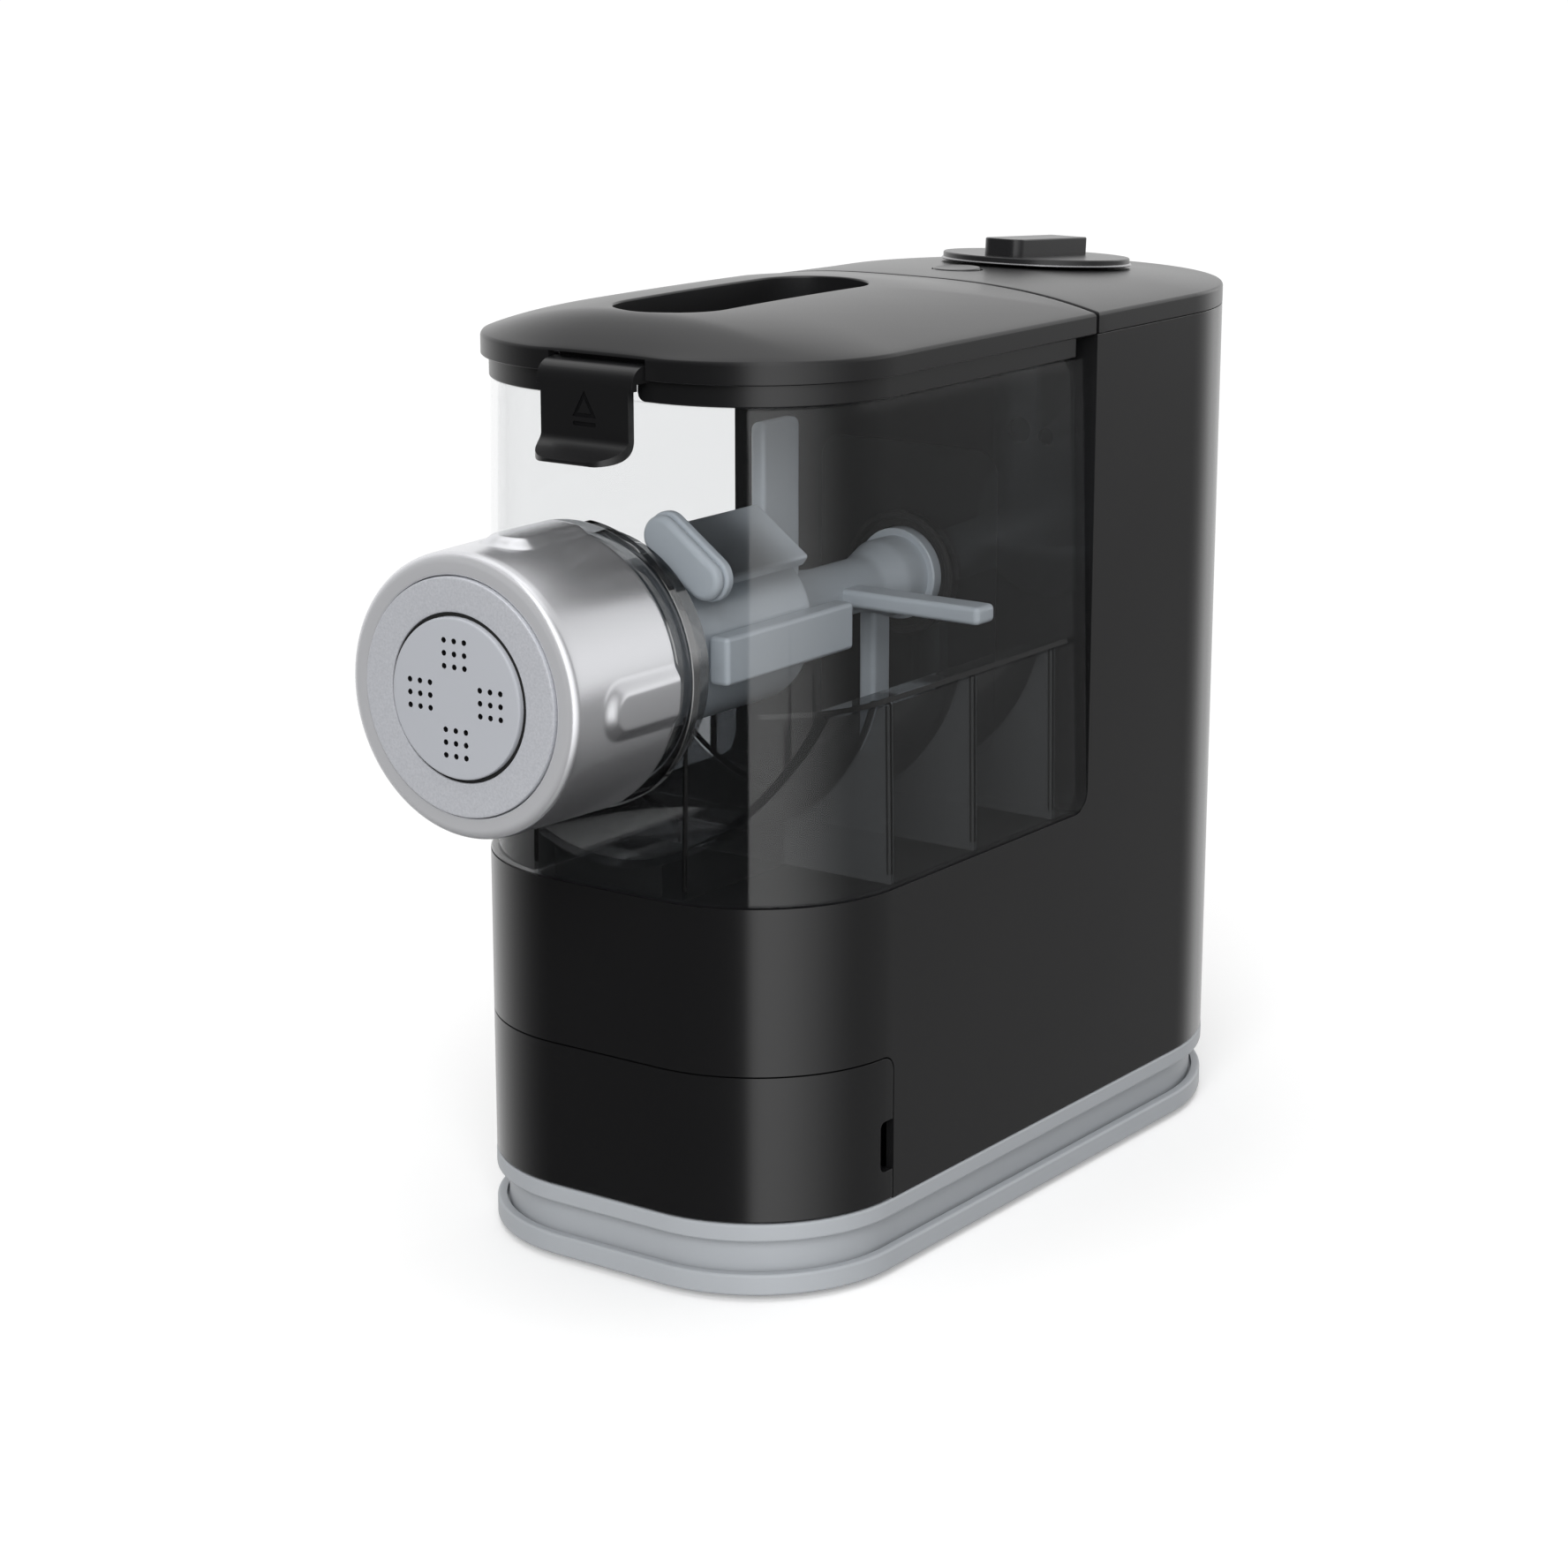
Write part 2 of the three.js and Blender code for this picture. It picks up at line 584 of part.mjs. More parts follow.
// Lid: a crowned shell with a well whose floor is slit, and room for the latch at its front edge
const seamGap = 0.4;
const lidWall = 2.5;
const slotHalfWidth = 17.8;
const slotFrontSetback = 18.5;
const slotLength = 100.6;
const slotRimRise = 1.6;
const wellWall = 2;
const wellFloorRise = 0.6;
const wellFloorZ = rimZ + wellFloorRise;
const wellFloor = 2;
const slitWidth = 3;
const slitPitch = 8;
const slitMargin = 5;
const slotSteps = 10;
const latchWidth = 31;
const latchRoom = 1.5;
const pinInset = 2.4;
const pinRise = 1.8;
const pinRadius = 1.3;
const knuckleRadius = 2.5;
const pinY = frontY + pinInset;
const pinZ = rimZ + pinRise;
const pinSeat = 4;
function slotOutline(grow) {
  const radius = slotHalfWidth + grow;
  const y0 = frontY + slotFrontSetback + slotHalfWidth;
  const y1 = frontY + slotFrontSetback + slotLength - slotHalfWidth;
  return [...arc(0, y1, radius, 0, Math.PI, slotSteps),
    ...arc(0, y0, radius, Math.PI, Math.PI * 2, slotSteps)];
}
function makeLid() {
  const outer = crownedBlock(lidOutline(0, seamGap), rimZ, 0, edgeRound);
  const inner = crownedBlock(lidOutline(lidWall, seamGap), rimZ - overrun, lidWall, edgeRound);
  const raised = (grow, rise) => slotOutline(grow).map((p) =>
    new THREE.Vector3(p.x, p.y, crownZ(p.x, p.y) + rise));
  const well = skinned([levelRing(slotOutline(wellWall), wellFloorZ),
    raised(wellWall, slotRimRise / 2), raised(wellWall / 2, slotRimRise)]);
  const mouth = skinned([levelRing(slotOutline(0), wellFloorZ + wellFloor), raised(0, overrun)]);
  let lid = cut(join(cut(outer, inner), well), mouth);
  const first = frontY + slotFrontSetback + slitMargin;
  const slits = Math.floor((slotLength - slitMargin * 2) / slitPitch) + 1;
  for (let i = 0; i < slits; i += 1) {
    const y = first + i * slitPitch;
    const toEnd = Math.min(y - first + slitMargin, slotLength - slitMargin - (y - first));
    const half = toEnd < slotHalfWidth ? Math.sqrt(toEnd * (slotHalfWidth * 2 - toEnd)) : slotHalfWidth;
    const reach = half - wellWall;
    lid = cut(lid, box(-reach, reach, y - slitWidth / 2, y + slitWidth / 2,
      wellFloorZ - overrun, wellFloorZ + wellFloor + overrun));
  }
  const half = latchWidth / 2 + latchRoom;
  const pocket = knuckleRadius + latchRoom;
  const lugs = join(...[-1, 1].map((side) => box(Math.min(side * half, side * (half + pinSeat)),
    Math.max(side * half, side * (half + pinSeat)),
    frontY + lidWall / 2, pinY + pocket, rimZ, pinZ + pocket)));
  return cut(join(lid, lugs.intersect(outer)),
    box(-half, half, frontY - overrun, pinY + pocket, rimZ - overrun, pinZ + pocket),
    rodX(pinRadius + seatGap, -half - pinSeat + latchRoom, half + pinSeat - latchRoom, pinY, pinZ));
}

// The lid in three strips, so that each one's rear edge is nearly straight along the bowed seam
const middleStripShare = 0.333;
function lidStrip(side) {
  const edge = halfWidth * middleStripShare;
  const across = halfWidth + overrun;
  const [x0, x1] = [[-across, -edge], [-edge, edge], [edge, across]][side + 1];
  return makeLid().intersect(box(x0, x1, frontY - overrun, overrun, rimZ - overrun, creaseZ + across));
}

// The black band below the lid's rim, which closes round the rim of the chamber, in two halves
// that leave the latch its room
const bandBackY = -8.7;
const bandCutHalf = latchWidth / 2 + latchRoom;
function makeBand(side) {
  const band = swept(chamberOutline, [[bandInset + edgeRound / 2, bandBottom + seatGap],
    [bandInset, bandBottom + seatGap + edgeRound], [bandInset, rimZ], [bandInset + bandWall, rimZ],
    [bandInset + bandWall, bandBottom + seatGap]], true);
  const across = halfWidth + overrun;
  const half = box(Math.min(side * bandCutHalf, side * across), Math.max(side * bandCutHalf, side * across),
    frontY - overrun, bandBackY, bandBottom - overrun, rimZ + overrun);
  return band.intersect(half);
}

// Latch: a knuckle on its pin, a shoulder over the lid's edge, a flat front and a lip that flares out
const latchThickness = 2.4;
const latchStandoff = 5.6;
const latchShoulderDrop = 1.9;
const latchFlatHeight = 14.4;
const latchLipDrop = 5.2;
const latchFlare = 9.4;
const latchNose = 4.6;
const latchNoseRise = 2.4;
const latchFlatTop = rimZ - latchShoulderDrop;
const latchFlatBottom = latchFlatTop - latchFlatHeight;
const latchTip = latchFlatBottom - latchLipDrop;
const latchNoseZ = latchFlatBottom + latchNoseRise;
function makeLatch() {
  const face = frontY - latchStandoff;
  const shape = new THREE.Shape();
  const back = face + latchThickness;
  const top = pinZ + knuckleRadius;
  shape.moveTo(pinY, top);
  shape.quadraticCurveTo(face, top, face, latchFlatTop);
  shape.lineTo(face, latchFlatBottom);
  shape.quadraticCurveTo(face - latchThickness / 4, latchTip + latchThickness, face - latchFlare, latchTip);
  shape.lineTo(face - latchFlare + latchThickness / 2, latchTip - latchThickness / 2);
  shape.quadraticCurveTo(back, latchTip, back, latchFlatBottom);
  shape.lineTo(back, latchNoseZ - latchThickness / 2);
  shape.lineTo(back + latchNose - latchThickness, latchNoseZ - latchThickness / 2);
  shape.lineTo(back + latchNose - latchThickness, latchNoseZ + latchThickness / 2);
  shape.lineTo(back, latchNoseZ + latchThickness * 1.5);
  shape.lineTo(back, pinZ - knuckleRadius);
  shape.lineTo(pinY, pinZ - knuckleRadius);
  shape.absarc(pinY, pinZ, knuckleRadius, -Math.PI / 2, Math.PI / 2);
  const half = latchWidth / 2;
  return cut(alongX(shape, -half, half),
    rodX(pinRadius + seatGap, -half - overrun, half + overrun, pinY, pinZ));
}
function makeLatchPin() {
  const half = latchWidth / 2 + pinSeat - seatGap;
  return rodX(pinRadius, -half, half, pinY, pinZ);
}

// Nozzle: extrusion tube, shaping disc, nut and the nut's face plate
const yokeBackY = -78;
const yokeThickness = 9.6;
const yokeFrontY = yokeBackY - yokeThickness;
const hoopWall = 2.3;
const tubeBackGap = 0.9;
const tubeBackY = yokeFrontY - tubeBackGap;
const flangeInset = 0.4;
const flangeRadius = neckRadius - flangeInset;
const flangeThickness = 3;
const tubeFrontY = neckFrontY - seatGap - flangeThickness;
const discInset = 2.4;
const discRadius = tubeRadius - discInset;
const discProud = 2.2;
const discRim = 1.2;
const dieRadius = 0.8;
const diePitch = 3.55;
const dieCircle = 12.3;
const dieSides = 6;
const nutWall = 2.9;
const nutTaper = 1;
const nutLength = 43.3;
const nutOverhang = 8.15;
const nutRadius = neckRadius + nutWall;
const nutBackRadius = nutRadius + nutTaper;
const nutFrontY = neckFrontY - nutOverhang;
const nutBackY = nutFrontY + nutLength;
const nutRound = 3;
const nutLip = 3;
const faceRim = 6.2;
const faceOpening = nutRadius - faceRim;
const faceProud = 1;
const discFrontY = nutFrontY - discProud;
const gripCount = 4;
const gripTurn = -3;
const gripWidth = 13;
const gripRise = 2;
const gripLength = 25;
const gripRoot = nutRadius - edgeRound;
const gripSteps = 3;
function makeTube() {
  return turnedY([[tubeRadius - hoopWall, tubeBackY], [tubeRadius, tubeBackY],
    [tubeRadius, neckFrontY - seatGap], [flangeRadius, neckFrontY - seatGap],
    [flangeRadius, neckFrontY - seatGap - flangeThickness],
    [tubeRadius - hoopWall, neckFrontY - seatGap - flangeThickness]].reverse());
}
function makeDisc() {
  let disc = turnedY([[0, tubeFrontY], [discRadius, tubeFrontY], [discRadius, discFrontY + discRim / 2],
    [discRadius - discRim / 2, discFrontY], [0, discFrontY]].reverse());
  const spread = [-1, 0, 1];
  for (const turn of [0, 1, 2, 3]) {
    const [cx, cz] = [Math.cos(turn * Math.PI / 2) * dieCircle, Math.sin(turn * Math.PI / 2) * dieCircle];
    for (const u of spread) {
      for (const v of spread) {
        disc = cut(disc, rodY(dieRadius, discFrontY - overrun, tubeFrontY + overrun,
          cx + u * diePitch, axisZ + cz + v * diePitch, dieSides));
      }
    }
  }
  return disc;
}
function makeNut() {
  const bore = neckRadius + runningGap;
  let nut = turnedY([[bore, nutBackY], [nutBackRadius - edgeRound, nutBackY],
    [nutBackRadius, nutBackY - edgeRound],
    [nutRadius, nutFrontY + nutRound],
    [nutRadius - nutRound * (1 - Math.SQRT1_2), nutFrontY + nutRound * (1 - Math.SQRT1_2)],
    [nutRadius - nutRound, nutFrontY], [faceOpening + edgeRound, nutFrontY],
    [faceOpening, nutFrontY + edgeRound],
    [faceOpening, nutFrontY + nutLip], [bore, nutFrontY + nutLip]]);
  for (let i = 0; i < gripCount; i += 1) {
    const grip = alongZ(roundedRect(-gripWidth / 2, gripWidth / 2, nutBackY - gripLength, nutBackY,
      gripWidth / 2 - edgeRound / 4), gripRoot, nutBackRadius + gripRise, {
      depth: nutBackRadius + gripRise / 2 - gripRoot,
      bevelSize: gripRise / 2, bevelThickness: gripRise / 2, bevelOffset: -gripRise / 2, bevelSegments: 1,
      curveSegments: gripSteps,
    });
    const angle = -(gripTurn + 90) * Math.PI / 180 - i * Math.PI * 2 / gripCount;
    nut = join(nut, grip.rotate([0, angle * 180 / Math.PI, 0]).translate([0, 0, axisZ]));
  }
  return nut;
}
function makeFacePlate() {
  const back = nutFrontY + nutLip + seatGap;
  const front = nutFrontY - faceProud;
  const [inner, outer] = [discRadius + seatGap, faceOpening - seatGap];
  return turnedY([[inner, back + flangeThickness / 2], [flangeRadius, back + flangeThickness / 2],
    [flangeRadius, back], [outer, back], [outer, front + edgeRound / 2], [outer - edgeRound / 2, front],
    [inner + edgeRound / 2, front], [inner, front + edgeRound / 2]].reverse());
}

// Kneading hook: hub, three arms at right angles, a yoke and two paddles that pass outside the tube
const socketRadius = 7.4;
const socketDepth = 14;
const hubBackY = -0.9;
const hubStepY = -34;
const shaftRadius = 13.5;
const yokeRadius = 14.5;
const armThickness = 8;
const armClearance = 2;
const downArmClearance = 3.8;
const armReach = troughRadius - armClearance;
const downArmReach = troughRadius - downArmClearance;
const upArmWidth = 22.6;
const upArmY = -71.3;
const sideArmWidth = 11;
const sideArmY = -38;
const downArmWidth = 17.7;
const downArmY = -18.2;
const paddleClearance = 1.5;
const paddleThickness = 7;
const paddleInner = tubeRadius + paddleClearance;
const paddleOuter = paddleInner + paddleThickness;
const paddleWidth = 14;
const paddleSetback = 15.35;
const paddleFrontY = frontY + paddleSetback;
const scraperTurn = 54;
const scraperStandoff = 10.7;
const scraperRadius = tubeRadius + scraperStandoff;
const scraperThickness = 4;
const scraperLength = 23;
const scraperSetback = 13.95;
const scraperFrontY = frontY + scraperSetback;
const capsuleLength = 30;
const capsuleWidth = 12;
const capsuleThickness = 4.5;
function makeHook() {
  const hub = turnedY([[0, yokeFrontY], [yokeRadius, yokeFrontY], [yokeRadius, yokeBackY],
    [shaftRadius - edgeRound, yokeBackY + overrun], [shaftRadius, hubStepY],
    [hubRadius, hubStepY / 2], [hubRadius, hubBackY], [0, hubBackY]], 0, 0, roundSides / 2);
  const flatEnd = (width, thickness, reach, y) => alongY(roundedRect(0, reach, -thickness / 2, thickness / 2,
    [0, thickness / 3, thickness / 3, 0]), y - width / 2, y + width / 2);
  const arm = (turn, width, reach, y) => flatEnd(width, armThickness, reach, y).rotate([0, -turn, 0]);
  const scraper = join(
    alongY(roundedRect(scraperRadius - scraperThickness / 2, scraperRadius + scraperThickness / 2,
      -scraperLength / 2, scraperLength / 2, scraperThickness / 3),
    scraperFrontY + capsuleThickness / 2, yokeFrontY + overrun),
    alongY(roundedRect(scraperRadius - capsuleWidth / 2, scraperRadius + capsuleWidth / 2,
      -capsuleLength / 2, capsuleLength / 2, capsuleWidth / 2 - edgeRound / 2),
    scraperFrontY - capsuleThickness / 2, scraperFrontY + capsuleThickness / 2),
    alongY(roundedRect(0, scraperRadius + scraperThickness / 2, -scraperLength / 4, scraperLength / 4, 0),
      yokeFrontY, yokeBackY)).rotate([0, -scraperTurn, 0]);
  const paddle = join(
    alongY(roundedRect(paddleInner, paddleOuter, -paddleWidth / 2, paddleWidth / 2, edgeRound),
      paddleFrontY, yokeBackY),
    alongY(roundedRect(0, paddleOuter, -paddleWidth / 2, paddleWidth / 2, [0, edgeRound, edgeRound, 0]),
      yokeFrontY, yokeBackY));
  const body = join(hub, scraper, paddle, arm(90, upArmWidth, armReach, upArmY),
    arm(0, sideArmWidth, armReach, sideArmY), arm(-90, downArmWidth, downArmReach, downArmY));
  const socket = solid(new THREE.CylinderGeometry(socketRadius, socketRadius, socketDepth + overrun, 6)
    .translate(0, hubBackY - socketDepth + (socketDepth + overrun) / 2, 0));
  const screwSocket = rodY(screwCore / 2, yokeFrontY - overrun, yokeFrontY + screwPlug + seatGap, 0, 0, 6);
  return cut(body, socket, screwSocket).translate([0, 0, axisZ]);
}

// Extrusion screw: a core with one flight, plugged into the front of the hook
const screwCore = 18;
const screwPlug = 12;
const screwFrontGap = 26.25;
const flightTurns = 3.4;
const flightRoot = 2.6;
const flightTip = 1.4;
const flightGap = 0.6;
const flightRadius = tubeRadius - hoopWall - flightGap;
const flightSteps = 16;
function makeScrew() {
  const back = yokeFrontY - seatGap - flightRoot;
  const front = tubeFrontY + screwFrontGap;
  const flightPitch = (back - front - flightRoot) / flightTurns;
  const count = Math.round(flightTurns * flightSteps);
  const rings = Array.from({ length: count + 1 }, (_, i) => {
    const angle = i / flightSteps * Math.PI * 2;
    const y = back - i / flightSteps * flightPitch;
    const at = (radius, dy) => new THREE.Vector3(radius * Math.cos(angle), y + dy, radius * Math.sin(angle));
    const inner = screwCore / 2 - flightTip / 2;
    return [at(inner, -flightRoot / 2), at(flightRadius, -flightTip / 2),
      at(flightRadius, flightTip / 2), at(inner, flightRoot / 2)];
  });
  const flat = rings.map((ring) => ring.flatMap((p) => [p.x, p.y, p.z])).flat();
  const index = [];
  for (let j = 0; j < count; j += 1) {
    for (let i = 0; i < 4; i += 1) {
      const [a, b] = [j * 4 + i, j * 4 + (i + 1) % 4];
      index.push(a, b, b + 4, a, b + 4, a + 4);
    }
  }
  const end = count * 4;
  index.push(0, 2, 1, 0, 3, 2, end, end + 1, end + 2, end, end + 2, end + 3);
  const helix = new THREE.BufferGeometry();
  helix.setAttribute('position', new THREE.Float32BufferAttribute(flat, 3));
  helix.setIndex(index);
  const core = turnedY([[0, front - screwCore / 4], [screwCore / 4, front - screwCore / 4],
    [screwCore / 2, front],
    [screwCore / 2, yokeFrontY - seatGap], [0, yokeFrontY - seatGap]], 0, 0, smallSides);
  const plug = rodY(screwCore / 2 - seatGap, yokeFrontY - runningGap, yokeFrontY + screwPlug, 0, 0, 6);
  return join(core, solid(helix), plug).translate([0, 0, axisZ]);
}

// Drive: a motor, two gear stages between two plates, and the output shaft that turns the hook
const frontPlateThickness = 6;
const gearPlateGap = 28;
const rearPlateThickness = 5;
const frontPlateY = shellWall;
const gearSpaceY = frontPlateY + frontPlateThickness;
const rearPlateY = gearSpaceY + gearPlateGap;
const rearPlateBackY = rearPlateY + rearPlateThickness;
const gearPlateSideRoom = 11.5;
const gearPlateHalfWidth = halfWidth - gearPlateSideRoom;
const gearPlateHeadroom = 4;
const gearPlateTop = switchBaseZ - gearPlateHeadroom;
const gearPlateCorner = 10;
const gearPostRadius = 5;
const gearPostInset = 7;
const outputShaftRadius = 7;
const outputHexRadius = 6.9;
const outputHexReach = 13;
const bearingOuter = 13;
const bearingWidth = 5;
const outputTeeth = 36;
const outputModule = 2.3;
const pinionTeeth = 9;
const wheelTeeth = 45;
const wheelModule = 1.2;
const gearFace = 13;
const wheelFace = 8;
const gearStart = 3;
const idlerShaftRadius = 3;
const motorShaftRadius = 2.5;
const statorRadius = 33;
const motorBackRoom = 27;
const rotorRadius = 20;
const rotorInset = 4;
const airGap = 0.8;
const endCapLength = 9;
const endCapWall = 3;
const fanRadius = 26;
const fanWidth = 7;
const fanBlades = 7;
const fanHubRadius = 8;
const fanBladeThickness = 1.6;
const fanGap = 2;
const toothBacklashShare = 0.12;
const stageOne = outputModule * (outputTeeth + pinionTeeth) / 2;
const stageTwo = wheelModule * (wheelTeeth + pinionTeeth) / 2;
const idlerZ = axisZ - stageOne;
const motorZ = idlerZ - stageTwo;
const gearPlateBottom = motorZ - statorRadius;

// A spur gear's outline, with slim straight-sided teeth. The first tooth's place is a share of a tooth
function gearShape(teeth, module, toothShare) {
  const pitch = Math.PI * 2 / teeth;
  const pitchRadius = teeth * module / 2;
  const levelShares = [[-1.15, 0.36 - toothBacklashShare / 4], [0.85, 0.15 - toothBacklashShare / 4]];
  const points = [];
  for (let t = 0; t < teeth; t += 1) {
    const middle = (t + toothShare) * pitch;
    const flank = levelShares.map(([rise, width]) => [pitchRadius + rise * module, width * pitch]);
    for (const [radius, off] of flank) {
      points.push(new THREE.Vector2(radius * Math.cos(middle - off), radius * Math.sin(middle - off)));
    }
    for (const [radius, off] of flank.reverse()) {
      points.push(new THREE.Vector2(radius * Math.cos(middle + off), radius * Math.sin(middle + off)));
    }
  }
  return new THREE.Shape(points);
}
const gearAt = (teeth, module, toothShare, y0, y1, z) =>
  alongY(gearShape(teeth, module, toothShare), y0, y1).translate([0, 0, z]);

const hexBack = hubBackY + runningGap * 2;

// The teeth that meet below the output gear and below the idler
const outputFront = gearSpaceY + gearStart;
const wheelFront = outputFront + gearFace + gearStart;
const wheelBack = wheelFront + wheelFace;
const downShare = 0.75;
const upShare = 0.25;
function makeOutputShaft() {
  const hex = solid(new THREE.CylinderGeometry(outputHexRadius, outputHexRadius, outputHexReach + overrun, 6)
    .translate(0, hexBack + (overrun - outputHexReach) / 2, axisZ));
  const shaft = rodY(outputShaftRadius, hexBack, rearPlateBackY, 0, axisZ, smallSides);
  return join(hex, shaft);
}
function makeOutputGear() {
  const gearBack = outputFront + gearFace;
  const gear = gearAt(outputTeeth, outputModule, (outputTeeth * downShare) % 1, outputFront, gearBack, axisZ);
  const hub = rodY(outputShaftRadius * 2, gearBack, gearBack + gearStart, 0, axisZ, smallSides);
  return cut(join(gear, hub),
    rodY(outputShaftRadius, outputFront - overrun, gearBack + gearStart + overrun, 0, axisZ, smallSides));
}
function makeIdler() {
  const pinionShare = (pinionTeeth * upShare + 0.5) % 1;
  const wheelShare = (wheelTeeth * downShare + 0.5) % 1;
  const pinion = gearAt(pinionTeeth, outputModule, pinionShare, outputFront, wheelFront, idlerZ);
  const wheel = gearAt(wheelTeeth, wheelModule, wheelShare, wheelFront, wheelBack, idlerZ);
  return cut(join(pinion, wheel),
    rodY(idlerShaftRadius + seatGap, outputFront - overrun, wheelBack + overrun, 0, idlerZ, smallSides));
}
function makeMotorPinion() {
  return cut(gearAt(pinionTeeth, wheelModule, (pinionTeeth * upShare) % 1, wheelFront, wheelBack, motorZ),
    rodY(motorShaftRadius, wheelFront - overrun, wheelBack + overrun, 0, motorZ, smallSides));
}
const idlerShaft = () => rodY(idlerShaftRadius, frontPlateY + seatGap, rearPlateBackY - seatGap,
  0, idlerZ, smallSides);

// The two gear plates: the front one carries the posts and the front bearings
const plateShape = () => roundedRect(-gearPlateHalfWidth, gearPlateHalfWidth, gearPlateBottom, gearPlateTop,
  gearPlateCorner);
const postPlaces = [-1, 1].flatMap((sx) => [gearPlateBottom + gearPostInset, gearPlateTop - gearPostInset]
  .map((z) => [sx * (gearPlateHalfWidth - gearPostInset), z]));
const bearingBore = (radius, y0, z) => rodY(radius, y0, y0 + bearingWidth + overrun, 0, z, smallSides);
function makeFrontPlate() {
  let plate = alongY(plateShape(), frontPlateY, gearSpaceY);
  for (const [x, z] of postPlaces) {
    plate = join(plate, rodY(gearPostRadius, gearSpaceY - overrun / 2, rearPlateY, x, z, smallSides));
  }
  return cut(plate,
    rodY(outputShaftRadius + seatGap * 2, -overrun, gearSpaceY + overrun, 0, axisZ, smallSides),
    bearingBore(bearingOuter, gearSpaceY - bearingWidth, axisZ),
    rodY(idlerShaftRadius + seatGap, -overrun, gearSpaceY + overrun, 0, idlerZ, smallSides));
}
function makeRearPlate() {
  return cut(alongY(plateShape(), rearPlateY, rearPlateBackY),
    rodY(outputShaftRadius + seatGap, rearPlateY - overrun, rearPlateBackY + overrun, 0, axisZ, smallSides),
    rodY(idlerShaftRadius + seatGap, rearPlateY - overrun, rearPlateBackY + overrun, 0, idlerZ, smallSides),
    rodY(motorShaftRadius + seatGap * 2, rearPlateY - overrun, rearPlateBackY + overrun,
      0, motorZ, smallSides));
}
const makeBearing = () => turnedY([[outputShaftRadius + seatGap, gearSpaceY - bearingWidth],
  [bearingOuter, gearSpaceY - bearingWidth], [bearingOuter, gearSpaceY],
  [outputShaftRadius + seatGap, gearSpaceY]],
  0, axisZ, smallSides);

// Motor: end caps that hold the shaft, a wound stator, the rotor on its shaft and a fan behind
const motorFrontY = rearPlateBackY;
const statorFrontY = motorFrontY + endCapLength;
const motorBackY = backY - motorBackRoom;
const statorBackY = motorBackY - endCapLength;
function endCap(faceY, statorY) {
  const inward = Math.sign(statorY - faceY);
  const outline = [[motorShaftRadius + seatGap, faceY], [statorRadius, faceY], [statorRadius, statorY],
    [statorRadius - endCapWall, statorY], [statorRadius - endCapWall, faceY + inward * endCapWall],
    [motorShaftRadius + seatGap, faceY + inward * endCapWall]];
  return turnedY(outline, 0, motorZ, roundSides / 2);
}
const makeStator = () => turnedY([[rotorRadius + airGap, statorFrontY], [statorRadius, statorFrontY],
  [statorRadius, statorBackY], [rotorRadius + airGap, statorBackY]], 0, motorZ, roundSides / 2);
function makeRotor() {
  return cut(
    rodY(rotorRadius, statorFrontY + rotorInset, statorBackY - rotorInset, 0, motorZ, roundSides / 2),
    rodY(motorShaftRadius, statorFrontY - overrun, statorBackY + overrun, 0, motorZ, smallSides));
}
const fanFrontY = motorBackY + fanGap;
const makeMotorShaft = () => rodY(motorShaftRadius, wheelFront, fanFrontY + fanWidth, 0, motorZ, smallSides);
function makeFan() {
  const [fanBackY, halfBlade] = [fanFrontY + fanWidth, fanBladeThickness / 2];
  let fan = rodY(fanHubRadius, fanFrontY, fanBackY, 0, motorZ, smallSides);
  for (let i = 0; i < fanBlades; i += 1) {
    const blade = box(0, fanRadius, fanFrontY, fanBackY, -halfBlade, halfBlade);
    fan = join(fan, blade.rotate([0, i * 360 / fanBlades, 0]).translate([0, 0, motorZ]));
  }
  return cut(fan, rodY(motorShaftRadius, fanFrontY - overrun, fanBackY + overrun, 0, motorZ, smallSides));
}

// Drive panel: the cover plate on the tower's front wall, behind the chamber
const panelSideRoom = 21.5;
const panelHeadroom = 17.9;
const panelBedroom = 12;
const panelHalfWidth = halfWidth - panelSideRoom;
const panelTop = rimZ - panelHeadroom;
const panelBottom = deckZ + panelBedroom;
const panelCorner = 8;
const panelProud = 0.3;
const makePanel = () => cut(
  alongY(roundedRect(-panelHalfWidth, panelHalfWidth, panelBottom, panelTop, panelCorner), -panelProud, 0),
  rodY(shaftHoleRadius, -overrun, overrun, 0, axisZ, smallSides));

// Controls: knob, start button, and the board and bracket under the top cover
const coverWall = 2.5;
const knobPlaceShare = 0.58215;
const knobRadiusShare = 0.24329;
const knobY = towerLength * knobPlaceShare;
const knobRadius = towerLength * knobRadiusShare;
const knobThickness = 2.4;
const knobLift = 0.4;
const knobRimWidth = 1.2;
const knobRimThickness = 1;
const gripBarInset = 11.8;
const gripBarLength = (knobRadius - gripBarInset) * 2;
const gripBarWidth = 14;
const gripBarHeight = 6;
const knobStemRadius = 5;
const knobStemLength = 13;
const knobTilt = Math.atan(2 * (crownRise - crownBackRise) * (knobY - frontY - crownPeakSetback)
  / (backY - frontY - crownPeakSetback) ** 2);
const buttonPlaceShare = 0.2101;
const buttonY = towerLength * buttonPlaceShare;
const buttonRadius = 7.6;
const buttonGap = 0.5;
const buttonProud = 0.6;
const buttonThickness = 3;
const buttonTravel = 1.2;
const buttonStemRadius = 2;
const springRadius = 4.2;
const springWall = 1;
const boardTop = controlShelfZ + boardThickness;
const tactSize = 6.2;
const tactHeight = 4.5;
const selectorWidth = 26;
const selectorHeight = 9;
const boardFrontY = 12;
const boardBackInset = 26.6;
const boardBackY = backY - boardBackInset;
const knobSurfaceZ = crownZ(0, knobY);
const buttonSurfaceZ = crownZ(0, buttonY);
